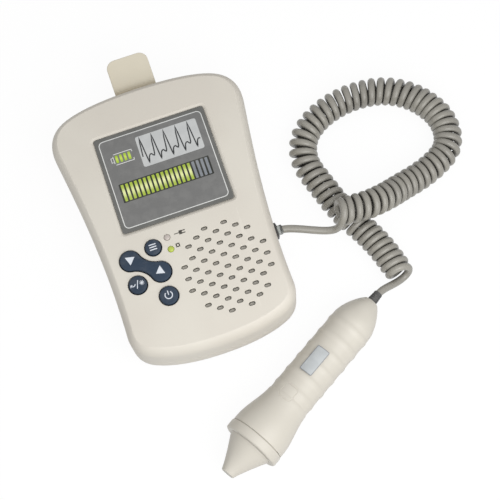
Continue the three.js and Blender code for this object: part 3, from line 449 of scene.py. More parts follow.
class Wiring:
    """A node tree with short calls that add nodes and link them."""

    def __init__(self, tree: Tree) -> None:
        """Keeps the tree that nodes are added to."""
        self.tree = tree

    @classmethod
    def afresh(cls, owner: bpy.types.ID) -> "Wiring":
        """The emptied node tree of a material or a world."""
        owner.use_nodes = True
        owner.node_tree.nodes.clear()
        return cls(owner.node_tree)

    def add(self, kind: str, inputs: dict | None = None, **settings: object) -> Node:
        """Adds a node.

        Args:
            kind: Blender's name for it, without its start.
            inputs: a value or a socket for each of its inputs, by name or number.
            settings: the node's own settings.

        Returns:
            The node.
        """
        node = self.tree.nodes.new("ShaderNode" + kind)
        for key, value in settings.items():
            setattr(node, key, value)
        for key, value in (inputs or {}).items():
            if isinstance(value, Output):
                self.tree.links.new(value, node.inputs[key])
            else:
                node.inputs[key].default_value = value
        return node

    def math(self, operation: str, *values: object) -> Output:
        """Adds a math node on the values and gives its result."""
        return self.add("Math", dict(enumerate(values)), operation=operation).outputs[0]

    def mix(self, share: object, first: object, second: object, blend: str = "MIX") -> Output:
        """Mixes two colours by a share and gives the colour."""
        return self.add("Mix", {0: share, 6: first, 7: second},
                        data_type="RGBA", blend_type=blend).outputs[2]

    def ramp(self, share: object, low: float, high: float) -> Output:
        """Rises smoothly from 0 to 1 where a share goes from one limit to the other."""
        return self.add("MapRange", {0: share, 1: low, 2: high}, interpolation_type="SMOOTHSTEP").outputs[0]

    def noise(self, where: object, scale: object, detail: float = 3, rough: float = 0.5) -> Output:
        """Adds noise at a scale and gives its value."""
        return self.add("TexNoise", {
            "Vector": where, "Scale": scale, "Detail": detail, "Roughness": rough}).outputs[0]

    def group(self, tree: Tree, inputs: dict) -> dict[str, Output]:
        """Places a shared group with its own values and gives its outputs by name."""
        return {socket.name: socket for socket in self.add("Group", inputs, node_tree=tree).outputs}

    def link(self, source: Output, target: Output) -> None:
        """Links one socket to another."""
        self.tree.links.new(source, target)


def new_group(name: str, takes: dict[Socket, str], gives: dict[Socket, str]) -> tuple[Tree, Wiring, object, object]:
    """Starts a group with named sockets.

    Args:
        name: the group's name.
        takes: names of its inputs of each kind, with spaces between them.
        gives: names of its outputs, likewise.

    Returns:
        The group, its wiring, its input node's sockets and its output node's sockets.
    """
    tree = bpy.data.node_groups.new(name, "ShaderNodeTree")
    for way, sockets in (("INPUT", takes), ("OUTPUT", gives)):
        for kind, labels in sockets.items():
            for label in labels.split():
                tree.interface.new_socket(label, in_out=way, socket_type=kind.value)
    return tree, Wiring(tree), tree.nodes.new("NodeGroupInput").outputs, tree.nodes.new("NodeGroupOutput").inputs


@cache
def grain_group() -> Tree:
    """Fine grain of a spark eroded mould, with broad waves of flow under it."""
    tree, w, take, give = new_group(
        "moulded grain", {Socket.VECTOR: "Vector", Socket.VALUE: "Pitch Flow"}, {Socket.VALUE: "Height"})
    fine = w.noise(take["Vector"], take["Pitch"], detail=2, rough=0.6)
    cells = w.add("TexVoronoi", {"Vector": take["Vector"], "Scale": take["Pitch"]},
                  feature="SMOOTH_F1").outputs["Distance"]
    broad = w.noise(take["Vector"], FLOW_SCALE, detail=1)
    fine_share = 0.6
    both = w.math("ADD", w.math("MULTIPLY", fine, fine_share), w.math("MULTIPLY", cells, 1 - fine_share))
    w.link(w.math("ADD", both, w.math("MULTIPLY", broad, take["Flow"])), give["Height"])
    return tree


@cache
def drift_group() -> Tree:
    """Colour that drifts slowly over a surface, with faint speckles."""
    tree, w, take, give = new_group("tone drift", {
        Socket.VECTOR: "Vector", Socket.COLOUR: "Colour Drift", Socket.VALUE: "Scale Speckle"},
        {Socket.COLOUR: "Colour"})
    slow = w.ramp(w.noise(take["Vector"], take["Scale"]), low=0.35, high=0.65)
    speck = w.ramp(w.noise(take["Vector"], SPECKLE_SCALE, detail=1), low=0.62, high=0.78)
    base = w.mix(slow, take["Colour"], take["Drift"])
    w.link(w.mix(w.math("MULTIPLY", speck, take["Speckle"]), base, take["Drift"], "MULTIPLY"), give["Colour"])
    return tree


@cache
def handling_group() -> Tree:
    """Uneven gloss where hands have been, and rubbed edges, which are smoother too."""
    tree, w, take, give = new_group("handling", {
        Socket.VECTOR: "Vector", Socket.COLOUR: "Colour Rubbed", Socket.VALUE: "Rub Roughness Spread"},
        {Socket.COLOUR: "Colour", Socket.VALUE: "Roughness"})
    point = w.add("NewGeometry").outputs["Pointiness"]
    edge = w.math("MULTIPLY", w.ramp(point, low=0.52, high=0.6), take["Rub"])
    worn = w.ramp(w.noise(take["Vector"], RUB_SCALE, detail=4), low=0.4, high=0.62)
    edge = w.math("MULTIPLY", edge, worn)
    smear = w.math("SUBTRACT", w.noise(take["Vector"], SMEAR_SCALE, detail=5, rough=0.6), 0.5)
    gloss = w.math("ADD", take["Roughness"], w.math("MULTIPLY", smear, w.math("MULTIPLY", take["Spread"], 2.0)))
    smoother = 0.15
    w.link(w.mix(edge, take["Colour"], take["Rubbed"]), give["Colour"])
    w.link(w.math("SUBTRACT", gloss, w.math("MULTIPLY", edge, smoother)), give["Roughness"])
    return tree


@cache
def dust_group() -> Tree:
    """Thin dust on what looks up, thicker in patches."""
    tree, w, take, give = new_group(
        "dust", {Socket.VECTOR: "Vector", Socket.COLOUR: "Colour", Socket.VALUE: "Amount"}, {Socket.COLOUR: "Colour"})
    up = w.add("SeparateXYZ", {0: w.add("NewGeometry").outputs["Normal"]}).outputs[2]
    patches = w.ramp(w.noise(take["Vector"], DUST_SCALE, detail=5, rough=0.65), low=0.42, high=0.7)
    settled = w.math("MULTIPLY", w.ramp(up, low=0.2, high=0.95), patches)
    mask = w.math("MULTIPLY", settled, take["Amount"])
    w.link(w.mix(mask, take["Colour"], linear(DUST_TINT)), give["Colour"])
    return tree


@cache
def weave_group() -> Tree:
    """Plain weave of wire: a height, and a mask of the gaps between the wires."""
    tree, w, take, give = new_group(
        "wire weave", {Socket.VECTOR: "Vector", Socket.VALUE: "Pitch"}, {Socket.VALUE: "Height Gap"})
    parts = w.add("SeparateXYZ", {0: take["Vector"]}).outputs
    waves = [w.math("SINE", w.math("DIVIDE", w.math("MULTIPLY", parts[i], pi), take["Pitch"]))
             for i in (0, 1)]
    height = w.math("MAXIMUM", *(w.math("ABSOLUTE", wave) for wave in waves))
    w.link(height, give["Height"])
    w.link(w.ramp(height, low=0.62, high=0.5), give["Gap"])
    return tree


@dataclass(frozen=True)
class Finish:
    """A surface with grain, drifting colour, uneven gloss, rubbed edges and a little dust.

    Grain is the number of grains to a metre, and depth how deep they look, in millimetres.
    """

    name: str
    colour: Rgb
    drift: Rgb
    roughness: float = 0.5
    spread: float = 0.06
    grain: float = 2600.0
    depth: float = 0.012
    flow: float = 0.25
    drift_scale: float = 28.0
    speckle: float = 0.08
    rub: float = 0.25
    dust: float = 0.05
    metallic: float = 0.0
    coat: float = 0.0
    specular: float = 0.5
    lift: int = 16
    coat_roughness: float = 0.15

    @cache
    def material(self) -> bpy.types.Material:
        """Builds the material once and gives it."""
        made = bpy.data.materials.new(self.name)
        w = Wiring.afresh(made)
        where = w.add("TexCoord").outputs["Object"]
        shader = w.add("BsdfPrincipled", self.plain())
        self.wire(w, where, shader)
        w.add("OutputMaterial", {"Surface": shader.outputs[0]})
        made.diffuse_color = linear(self.colour)
        return made

    def plain(self) -> dict[str, object]:
        """What is the same all over the surface, by the shader's own sockets."""
        return {"Metallic": self.metallic, "Coat Weight": self.coat, "Coat Roughness": self.coat_roughness,
                "Specular IOR Level": self.specular}

    def tone(self, w: Wiring, where: object) -> Output:
        """The colour before wear and dust."""
        return w.group(drift_group(), {
            "Vector": where, "Colour": linear(self.colour), "Drift": linear(self.drift),
            "Scale": self.drift_scale, "Speckle": self.speckle})["Colour"]

    def relief(self, w: Wiring, where: object) -> Output:
        """The height that the bump is made of."""
        return w.group(grain_group(), {"Vector": where, "Pitch": self.grain, "Flow": self.flow})["Height"]

    def wire(self, w: Wiring, where: object, shader: Node) -> None:
        """Wires colour, roughness and bump into the shader.

        Args:
            w: the material's wiring.
            where: coordinates that stay with the piece.
            shader: the shader node.
        """
        handled = w.group(handling_group(), {
            "Vector": where, "Colour": self.tone(w, where),
            "Rubbed": linear(tuple(min(255, c + self.lift) for c in self.colour)), "Rub": self.rub,
            "Roughness": self.roughness, "Spread": self.spread})
        dusted = w.group(dust_group(), {"Vector": where, "Colour": handled["Colour"], "Amount": self.dust})
        self.join(w, shader, dusted["Colour"], handled["Roughness"], self.relief(w, where))

    def join(self, w: Wiring, shader: Node, *ends: Output, strength: float = 1.0) -> None:
        """Links the ends of a colour, a roughness and a height to the shader."""
        colour, roughness, height = ends
        bump = w.add("Bump", {"Strength": strength, "Distance": self.depth * MM, "Height": height})
        for end, name in ((colour, "Base Color"), (roughness, "Roughness"), (bump.outputs[0], "Normal")):
            w.link(end, shader.inputs[name])


@dataclass(frozen=True)
class Ink(Finish):
    """Screen printed ink: a fine mesh of the screen in the gloss, and on a lit bar a painted glow that brightens the
    colour towards the bar's middle.
    """

    depth: float = 0.003
    # glow is a painted glow: a colour mixed into the ink, not emitted light
    glow: Rgb | None = None
    painted_glow_middle: float = 0.0
    painted_glow_reach: float = 1.0
    screen: float = 0.12

    def tone(self, w: Wiring, where: object) -> Output:
        """The ink's colour, with a painted glow that brightens it towards the middle of a lit bar."""
        base = super().tone(w, where)
        if self.glow is None:
            return base
        up = w.add("SeparateXYZ", {0: where}).outputs[1]
        off = w.math("ABSOLUTE", w.math("SUBTRACT", up, self.painted_glow_middle * MM))
        share = w.ramp(off, self.painted_glow_reach * MM, 0.0)
        return w.mix(share, base, linear(self.glow))

    def relief(self, w: Wiring, where: object) -> Output:
        """Height of the print screen's threads."""
        return w.group(weave_group(), {"Vector": where, "Pitch": self.screen * MM})["Height"]


@dataclass(frozen=True)
class CurlyJacket(Finish):
    """Cord jacket with painted shade between the curls: ambient occlusion darkens its colour there."""

    # painted shade: the colour that the jacket darkens to between the curls
    crevice_shade: Rgb = (38, 37, 34)
    reach: float = 4.0
    shut: Point = (0.92, 0.1)

    def tone(self, w: Wiring, where: object) -> Output:
        """The jacket's colour with painted shade, darker where the curls shut the light out."""
        # ambient occlusion paints shade into the base colour
        openness = w.add("AmbientOcclusion", {"Distance": self.reach * MM}).outputs["AO"]
        return w.mix(w.ramp(openness, *self.shut), super().tone(w, where), linear(self.crevice_shade))


@dataclass(frozen=True)
class WireMesh(Finish):
    """Woven wire cloth with dark gaps."""

    pitch: float = 0.42
    depth: float = 0.12
    strength: float = 0.8
    gap: Rgb = (26, 26, 27)
    gap_rough: float = 0.3

    def wire(self, w: Wiring, where: object, shader: Node) -> None:
        """Wires the weave into colour, roughness and bump."""
        weave = w.group(weave_group(), {"Vector": where, "Pitch": self.pitch * MM})
        colour = w.mix(weave["Gap"], self.tone(w, where), linear(self.gap))
        rough = w.math("ADD", self.roughness, w.math("MULTIPLY", weave["Gap"], self.gap_rough))
        self.join(w, shader, colour, rough, weave["Height"], strength=self.strength)


@dataclass(frozen=True)
class Brushed(Finish):
    """Metal with lines drawn along one axis."""

    metallic: float = 1.0
    stretch: Spot = (60.0, 2600.0, 2600.0)

    def relief(self, w: Wiring, where: object) -> Output:
        """Height of the drawn lines."""
        drawn = w.add("VectorMath", {0: where, 1: self.stretch}, operation="MULTIPLY").outputs[0]
        return w.noise(drawn, 1.0, detail=4, rough=0.6)


@dataclass(frozen=True)
class Circuit(Finish):
    """Solder mask over copper tracks, with plated pads."""

    track_scale: float = 210.0
    track: Rgb = (70, 140, 90)
    track_share: float = 0.55
    pad_scale: float = 420.0
    pad: Rgb = (196, 190, 172)
    pad_share: float = 0.8

    def tone(self, w: Wiring, where: object) -> Output:
        """Green mask, lighter over the tracks, with pads in rows."""
        base = super().tone(w, where)
        tracks = w.add("TexBrick", {
            "Vector": where, "Scale": self.track_scale, "Color1": (0, 0, 0, 1), "Color2": (0.25, 0.25, 0.25, 1),
            "Mortar": (1, 1, 1, 1), "Mortar Size": 0.05}, offset=0.37, squash=0.6).outputs["Color"]
        dots = w.add("TexVoronoi", {"Vector": where, "Scale": self.pad_scale, "Randomness": 0.25})
        pads = w.ramp(dots.outputs["Distance"], low=0.19, high=0.14)
        over = w.mix(w.math("MULTIPLY", tracks, self.track_share), base, linear(self.track))
        return w.mix(w.math("MULTIPLY", pads, self.pad_share), over, linear(self.pad))


@dataclass(frozen=True)
class Jacket(Finish):
    """Printed cell jacket: a dark sleeve with a plain metallic band at each end."""

    band: Rgb = (186, 152, 92)
    band_edge: Point = (14.6, 15.0)

    def tone(self, w: Wiring, where: object) -> Output:
        """Sleeve colour with the band near its ends."""
        base = super().tone(w, where)
        along = w.math("ABSOLUTE", w.add("SeparateXYZ", {0: where}).outputs[0])
        return w.mix(w.ramp(along, *(edge * MM for edge in self.band_edge)), base, linear(self.band))


@dataclass(frozen=True)
class Clear(Finish):
    """Clear moulded plastic or glass with a faint tint."""

    pass_share: float = 0.85
    ior: float = 1.5

    def plain(self) -> dict[str, object]:
        """The glass sockets too."""
        return super().plain() | {"Transmission Weight": self.pass_share, "IOR": self.ior}


@dataclass(frozen=True)
class Lamp(Finish):
    """Diffused lamp body that glows a little when lit."""

    lit: float = 0.0

    def plain(self) -> dict[str, object]:
        """The light that it gives too."""
        return super().plain() | {"Emission Color": linear(self.colour), "Emission Strength": self.lit}


CASE = Finish("case plastic", (224, 219, 208), (219, 213, 202), 0.52, drift_scale=18.0, specular=0.4)
HOLDER = Finish("holder plastic", (230, 222, 202), (224, 215, 194), 0.42, grain=3200.0, depth=0.006)
PROBE = Finish("probe plastic", (212, 207, 196), (203, 198, 187), 0.42, grain=3400.0, depth=0.006)
KEY = Finish("key silicone", (46, 61, 79), (41, 55, 72), 0.6, grain=3600.0, depth=0.008, rub=0.3, dust=0.05,
             specular=0.3)
KEY_PRINT = Ink("key print", (226, 231, 238), (214, 220, 229), 0.5)
SHEET = Ink("sheet grey", (116, 116, 115), (114, 114, 113), 0.4, spread=0.01, dust=0.03)
RIM = Ink("sheet rim", (103, 103, 100), (99, 99, 96), 0.4)
LINE = Ink("line white", (228, 229, 226), (216, 218, 216), 0.4)
WINDOW = Ink("window grey", (200, 202, 201), (196, 198, 198), 0.38, speckle=0.2)
TRACE = Ink("trace ink", (38, 41, 44), (32, 35, 38), 0.4)
BAR_INK = Ink("bar black", (28, 30, 22), (22, 24, 18), 0.4)
# lit bars and charge bars carry a painted glow in their colour
BAR_LIT = Ink("bar lit", (172, 194, 62), (164, 186, 56), 0.36, coat=0.1,
              glow=(240, 245, 178), painted_glow_middle=16.4, painted_glow_reach=3.4)
CHARGE = Ink("charge lit", (166, 200, 50), (150, 184, 44), 0.36,
             glow=(206, 226, 96), painted_glow_middle=33.9, painted_glow_reach=1.8)
BAR_DARK = Ink("bar unlit", (136, 141, 147), (128, 133, 139), 0.36)
FACE_PRINT = Ink("face print", (58, 55, 48), (50, 48, 42), 0.5)
BLACK = Finish("black plastic", (44, 43, 42), (38, 37, 37), 0.45, rub=0.3, dust=0.08)
CLEAR = Clear("clear plastic", (186, 189, 186), (172, 176, 172), 0.16, depth=0.002, rub=0, dust=0.03)
GLASS = Clear("display glass", (196, 206, 196), (188, 199, 190), 0.06, depth=0.001, rub=0, dust=0.02,
              pass_share=0.7, ior=1.52)
GUIDE = Clear("light guide", (222, 226, 222), (212, 217, 213), 0.3, depth=0.004, rub=0, pass_share=0.6)
MAT = Finish("keypad silicone", (78, 92, 112), (70, 84, 104), 0.75, grain=2200.0, depth=0.01, dust=0.12)
CIRCUIT = Circuit("circuit board", (38, 98, 62), (33, 88, 55), 0.4, depth=0.01, rub=0.1, coat=0.3)
MESH = WireMesh("speaker cloth", (184, 180, 171), (174, 170, 162), 0.45)
STEEL = Brushed("plated steel", (176, 178, 180), (160, 162, 165), 0.32, depth=0.006, rub=0.4)
PAPER = Finish("cone paper", (52, 50, 49), (44, 43, 42), 0.9, grain=900.0, depth=0.05, dust=0.25)
CELL = Jacket("cell jacket", (52, 60, 72), (46, 53, 65), 0.32, depth=0.004, coat=0.3)
BRASS = Brushed("contact metal", (206, 182, 126), (190, 166, 112), 0.3, depth=0.005)
SCREW = Brushed("screw steel", (182, 184, 186), (160, 163, 167), 0.34, depth=0.008,
                stretch=(900.0, 900.0, 900.0))
# the cord's colour has painted shade between its curls
CORD = CurlyJacket("cord jacket", (153, 150, 141), (144, 141, 133), 0.31, specular=0.6, spread=0.05, grain=1500.0,
                   depth=0.01, flow=0.5, drift_scale=60.0, rub=0.1, dust=0.05)
BOOT = Finish("boot rubber", (76, 76, 75), (68, 68, 68), 0.7, grain=2200.0, depth=0.02, dust=0.12)
LENS = Finish("lens resin", (164, 161, 142), (154, 151, 133), 0.3, depth=0.003, coat=0.3)
CRYSTAL = Finish("crystal", (206, 196, 156), (190, 180, 140), 0.5, grain=5000.0, depth=0.005)
BACKING = Finish("backing resin", (88, 78, 68), (76, 67, 59), 0.75, grain=1500.0, depth=0.03)
LABEL = Brushed("label silver", (190, 194, 195), (180, 184, 186), 0.6, depth=0.004, metallic=0.1,
                stretch=(2000.0, 60.0, 60.0))
LABEL_EDGE = Ink("label edge", (140, 143, 148), (128, 131, 136), 0.45)
LAMP_GREY = Lamp("lamp grey", (196, 186, 179), (186, 176, 170), 0.35, depth=0.004, coat=0.3)
LAMP_GREEN = Lamp("lamp green", (180, 196, 70), (168, 184, 58), 0.34, depth=0.004, coat=0.2, lit=0.05)


def dress(
    piece: Piece, finish: Finish, replaces: Iterable[str] = (), body: Body = Body.UNIT, smooth: float = 38.0,
) -> None:
    """Gives a piece its finish, its shading and its place in the model.

    Args:
        piece: the object.
        finish: what its surface is.
        replaces: CAD nodes that it stands for.
        body: the body that it rides on.
        smooth: edges flatter than this many degrees are shaded smooth.
    """
    mesh = piece.data
    mesh.materials.clear()
    mesh.materials.append(finish.material())
    mesh.shade_smooth()
    mesh.set_sharp_from_angle(angle=radians(smooth))
    even = piece.modifiers.new("even shading", "WEIGHTED_NORMAL")
    even.keep_sharp = True
    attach(piece, body.value)
    if replaces:
        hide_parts(*replaces)
    log.info("%s: %d faces, %s", piece.name, len(mesh.polygons), finish.name)


@dataclass
class CaseShape:
    """Outline and wall of the case, which both covers, the door and the probe holder share."""

    length: float = 136.0
    shoulder: float = 100.0
    foot: float = 82.4
    wall: float = 2.2
    gap: float = 0.3
    parting: float = 12.5
    top_drop: float = 9.2
    foot_drop: float = 8.7
    shoulder_round: float = 14.0
    foot_round: float = 9.2
    shoulder_lean: float = 1.8
    waist_draw: float = 1.4
    bevel_width: float = 3.5
    bevel_drop: float = 7.5
    bevel_sweep: float = radians(64)
    crease: float = 0.34
    trim: float = 0.1
    back_inset: float = 6.0
    back_round: float = 7.0
    face: float = 30.1
    ceiling: float = 27.9
    waist_share: float = 0.45
    flare_share: float = 0.165
    edge: Point = (0.3, 0.09)
    post: float = 3.9
    screw_spots: Points = ((-40.376, 47.6), (40.376, 47.6), (-35.267, -49.232), (35.267, -49.232))
    half: list[tuple[Vector, Vector]] = field(default_factory=list)

    def __post_init__(self) -> None:
        """Samples the right half of the outline: each point with its direction."""
        end = self.length / 2
        foot = Vector((self.foot / 2, self.foot_drop - end))
        top = Vector((self.shoulder / 2, end - self.top_drop))
        foot_pull, top_pull = Vector((foot.x / 2, -end)), Vector((top.x / 2, end))
        foot_in = foot + (foot_pull - foot).normalized() * self.foot_round
        foot_out = foot + Vector((0, self.foot_round))
        top_in = top - Vector((self.shoulder_lean, self.shoulder_round))
        top_out = top + (top_pull - top).normalized() * self.shoulder_round
        side = top_in.y - foot_out.y
        waist = Vector((foot_out.x - self.waist_draw, foot_out.y + side * self.waist_share))
        reach = side * self.flare_share
        flare = Vector((top_in.x - self.shoulder_lean * reach / self.shoulder_round, top_in.y - reach))
        for controls, steps in (
            ((Vector((0, -end)), foot_pull, foot_in), 12), ((foot_in, foot, foot_out), 14),
            ((foot_out, waist, flare, top_in), 24), ((top_in, top, top_out), 16),
            ((top_out, top_pull, Vector((0, end))), 12),
        ):
            self.half.extend(self._bezier(controls, i / steps) for i in range(steps))

    @staticmethod
    def _bezier(controls: Sequence[Vector], t: float) -> tuple[Vector, Vector]:
        """Point and direction on a Bezier curve of any degree."""
        level = list(controls)
        while len(level) > 2:
            level = [a.lerp(b, t) for a, b in zip(level, level[1:])]
        return level[0].lerp(level[1], t), (level[1] - level[0]).normalized()

    def outline(self, grow: float) -> list[Point]:
        """The whole outline, grown by a distance."""
        reach = grow - self.trim
        right = [(p.x + d.y * reach, p.y - d.x * reach) for p, d in self.half]
        return [*right, (0.0, self.length / 2 + reach), *[(-x, y) for x, y in reversed(right[1:])]]

    def bevel(self, face: float, steps: int) -> list[Point]:
        """Levels of the round between side and face, from the side up."""
        sweep = self.bevel_sweep
        wide, tall = self.bevel_width / (1 - cos(sweep)), self.bevel_drop / sin(sweep)
        last = sweep - self.crease / hypot(wide * sin(sweep), tall * cos(sweep))
        bends = [last * i / steps for i in range(steps + 1)]
        side = [(-wide * (1 - cos(a)), face - self.bevel_drop + tall * sin(a)) for a in bends]
        start, corner = Vector(side[-1]), Vector((-self.bevel_width, face))
        end = corner - Vector((self.crease, 0))
        turn = [tuple(start.lerp(corner, t).lerp(corner.lerp(end, t), t)) for t in (0.2, 0.4, 0.6, 0.8, 1.0)]
        return [*side, *turn]

    def under(self, steps: int) -> list[Point]:
        """Levels of the round between back and side, from the back up."""
        bends = [QUARTER * (1 - i / steps) for i in range(steps + 1)]
        return [(-self.back_inset * (1 - cos(a)), self.back_round * (1 - sin(a))) for a in bends]

    def rear_skin(self) -> Form:
        """The closed outer form of the rear half."""
        return Form().stack(self.outline, [*self.under(14), (0, self.parting)])


@dataclass
class FrontCover:
    """Front cover with the recess for the printed sheet, the key and lamp holes and the speaker grille."""

    case: CaseShape
    sill: float = 4.2
    sill_corner: float = 0.6
    recess: float = 1.1
    recess_play: float = 0.3
    recess_lip: Levels = ((0, 0.72), (0.16, 0.6), (0.72, 0.25), (1.0, 0.1), (1.3, 0.02), (1.6, -0.001), (1.7, -2.0))
    grille_at: Point = (14.0904, -33.864)
    grille_columns: tuple[int, ...] = (3, 6, 7, 8, 7, 8, 7, 6, 3)
    grille_skin: float = 1.1
    hole_pitch: Point = (4.85, 6.0)
    hole_size: Point = (3.2, 1.9)
    # painted shade: clear middle and width of the dark ring laid round each grille hole
    shade_ring_hole: Point = (2.5, 1.15)
    shade_ring_width: float = 0.7
    pocket_band: float = 2.9
    cloth_play: float = 0.4
    lamp_hole: float = 1.58
    key_lip: float = 0.3
    lamp_lip: float = 0.2
    grille_lip: float = 0.22
    rebate: Point = (1.1, 1.4)
    post_top: float = 22.2
    board_post: float = 2.3
    board_post_reach: Point = (23.9, 28.4)
    board_posts: Points = ((-13.875, 51.16), (13.875, 51.16), (-32.35, 21.76), (32.35, 21.76))

    def shell(self) -> Form:
        """The hollow cover with a stepped rim, from its ceiling down and up its outside."""
        case = self.case
        low = case.parting + case.gap
        across, up = self.rebate
        edge, turn = case.edge
        inside = [(grow - case.wall, z) for grow, z in reversed(case.bevel(case.ceiling, 8))]
        return Form().stack(case.outline, [
            *inside, (-case.wall, low + up), (-across, low + up), (-across, low),
            (-edge, low), (-turn, low + turn), (0, low + edge), *case.bevel(case.face, 16),
        ])

    def posts(self) -> Form:
        """Posts that the case screws and the board screws bite into."""
        case = self.case
        return posts(case.post, case.parting + case.gap, self.post_top, case.screw_spots).plus(
            posts(self.board_post, *self.board_post_reach, self.board_posts, 24))

    def grille_spots(self) -> list[Point]:
        """Middles of the holes over the speaker."""
        spots = []
        for column, holes in enumerate(self.grille_columns):
            x = (column - (len(self.grille_columns) - 1) / 2) * self.hole_pitch[0]
            spots.extend((self.grille_at[0] + x, self.grille_at[1] + (row - (holes - 1) / 2) * self.hole_pitch[1])
                         for row in range(holes))
        return spots

    def openings(self, keys: "Keypad", panel: "DisplayPanel", lamps: "Lamps") -> Form:
        """Everything that is cut through the face."""
        face, low = self.case.face, self.case.ceiling - 3
        width, height = panel.size
        opening = rounded_rect(width - 2 * self.sill, height - 2 * self.sill, self.sill_corner)
        play = self.recess_play
        recess = rounded_rect(width + 2 * play, height + 2 * play, panel.corner + play)
        floor = face - self.recess
        tool = Form().layers([
            (opening, 0, low), (opening, 0, floor), (recess, 0, floor),
            *((recess, grow, face - drop) for grow, drop in self.recess_lip)]).at(*panel.at)
        holes = [(outline, self.key_lip) for outline in keys.holes()]
        holes += [(shifted(circle(self.lamp_hole, 24), *spot), self.lamp_lip)
                  for spot in (lamps.grey_at, lamps.green_at)]
        holes += [(shifted(capsule(*self.hole_size, 7), *spot), self.grille_lip) for spot in self.grille_spots()]
        for outline, lip in holes:
            tool.plus(hole(outline, low, face, lip))
        return tool

    def pocket(self, grow: float) -> list[Point]:
        """Outline of the pocket for the speaker cloth: the row of holes wrapped in a loose band."""
        reach, sides = self.pocket_band + grow, 16
        ring = [polar(reach, i * 2 * pi / sides) for i in range(sides)]
        spots = sorted({(x + u, y + v) for x, y in self.grille_spots() for u, v in ring})
        hull: list[Point] = []
        for order in (spots, spots[::-1]):
            chain: list[Point] = []
            for x, y in order:
                while len(chain) > 1 and ((chain[-1][0] - chain[-2][0]) * (y - chain[-2][1])
                                          - (chain[-1][1] - chain[-2][1]) * (x - chain[-2][0])) <= 1e-9:
                    chain.pop()
                chain.append((x, y))
            hull.extend(chain[:-1])
        return hull

    def cloth(self) -> None:
        """Makes the woven cloth behind the grille and a dark ring on it round each hole, painted shade for the hole's
        walls.
        """
        top = self.case.face - self.grille_skin - 0.05
        sheet = Form().stack(lambda grow: self.pocket(grow - self.cloth_play), [
            (-0.05, top - 0.4), (0, top - 0.35), (0, top - 0.05), (-0.05, top)])
        dress(sheet.mesh("speaker_cloth"), MESH, ["grille_mesh"])
        # painted shade: dark rings under the hole walls, laid in the bar frame's black ink
        frames = Flat()
        inner = capsule(*self.shade_ring_hole, 9)
        outer = capsule(*(side + self.shade_ring_width for side in self.hole_size), 9)
        for x, y in self.grille_spots():
            frames.plus(Flat().strip(list(zip(outer(0), inner(0))), True).at(x, y))
        form = frames.laid(level(top), -0.02, 0.03)
        dress(form.mesh("speaker_cloth_shade_rings"), BAR_INK)

    def build(self, keys: "Keypad", panel: "DisplayPanel", lamps: "Lamps", socket: "CordSocket") -> None:
        """Makes the cover, with openings for what stands in it."""
        self.cloth()
        cover = self.shell().mesh("front_cover_skin")
        carve(cover, Carve.JOIN, self.posts())
        carve(cover, Carve.CUT, Form().stack(self.pocket, [
            (0, self.case.ceiling - 0.6), (0, self.case.face - self.grille_skin)]))
        carve(cover, Carve.CUT, self.openings(keys, panel, lamps))
        carve(cover, Carve.CUT, socket.wall_opening())
        dress(cover, CASE, ["front_cover"])


@dataclass
class RearCover:
    """Rear cover with screw wells, the battery bay and the slot that the door slides in."""

    case: CaseShape
    bay_y: float = -42.432
    bay_half: Point = (28.45, 15.25)
    bay_corner: float = 0.5
    bay_wall: float = 2.2
    bay_floor: float = 2.1
    bay_ceiling: float = 17.1
    bay_roof: float = 1.2
    tongue: Point = (1.4, 1.3)
    post_low: float = 1.1
    well: float = 2.9
    sink: float = 10.3
    shaft: float = 1.7

    def shell(self) -> Form:
        """The hollow cover with a tongue that reaches into the front one."""
        case = self.case
        top, (edge, turn), (across, up) = case.parting, case.edge, self.tongue
        inside = [(grow - case.wall, z + case.wall) for grow, z in reversed(case.under(8))]
        return Form().stack(case.outline, [
            *case.under(14), (0, top - edge), (-turn, top - turn), (-edge, top), (-across, top),
            (-across, top + up), (-case.wall, top + up), *inside,
        ])

    def wells(self) -> Form:
        """The screw wells, with a soft mouth in the back and a narrow shaft under it."""
        mouth = [(self.well + wide, z) for wide, z in ((0.5, -2), (0.5, -0.01), (0.25, 0.12), (0, 0.4), (0, self.sink))]
        form = Form()
        for spot in self.case.screw_spots:
            form.plus(Form().turned([*mouth, (self.shaft, self.sink), (self.shaft, self.case.parting + 4)], 32)
                      .at(*spot))
        return form

    def build(self, door: "BatteryDoor", holder: "ProbeHolder") -> None:
        """Makes the cover."""
        case = self.case
        cover = self.shell().mesh("rear_cover_skin")
        bay = rounded_rect(*(2 * half for half in self.bay_half), self.bay_corner, 3)
        carve(cover, Carve.JOIN, posts(case.post, self.post_low, case.parting, case.screw_spots))
        carve(cover, Carve.JOIN, Form().stack(bay, [
            (self.bay_wall, self.bay_floor), (self.bay_wall, self.bay_ceiling + self.bay_roof)]).at(0, self.bay_y))
        carve(cover, Carve.CUT, Form().stack(bay, [(0, -4), (0, self.bay_ceiling)]).at(0, self.bay_y))
        carve(cover, Carve.CUT, door.form(case.gap))
        carve(cover, Carve.CUT, self.wells())
        carve(cover, Carve.CUT, holder.screw_bores())
        dress(cover, CASE, ["rear_cover"])


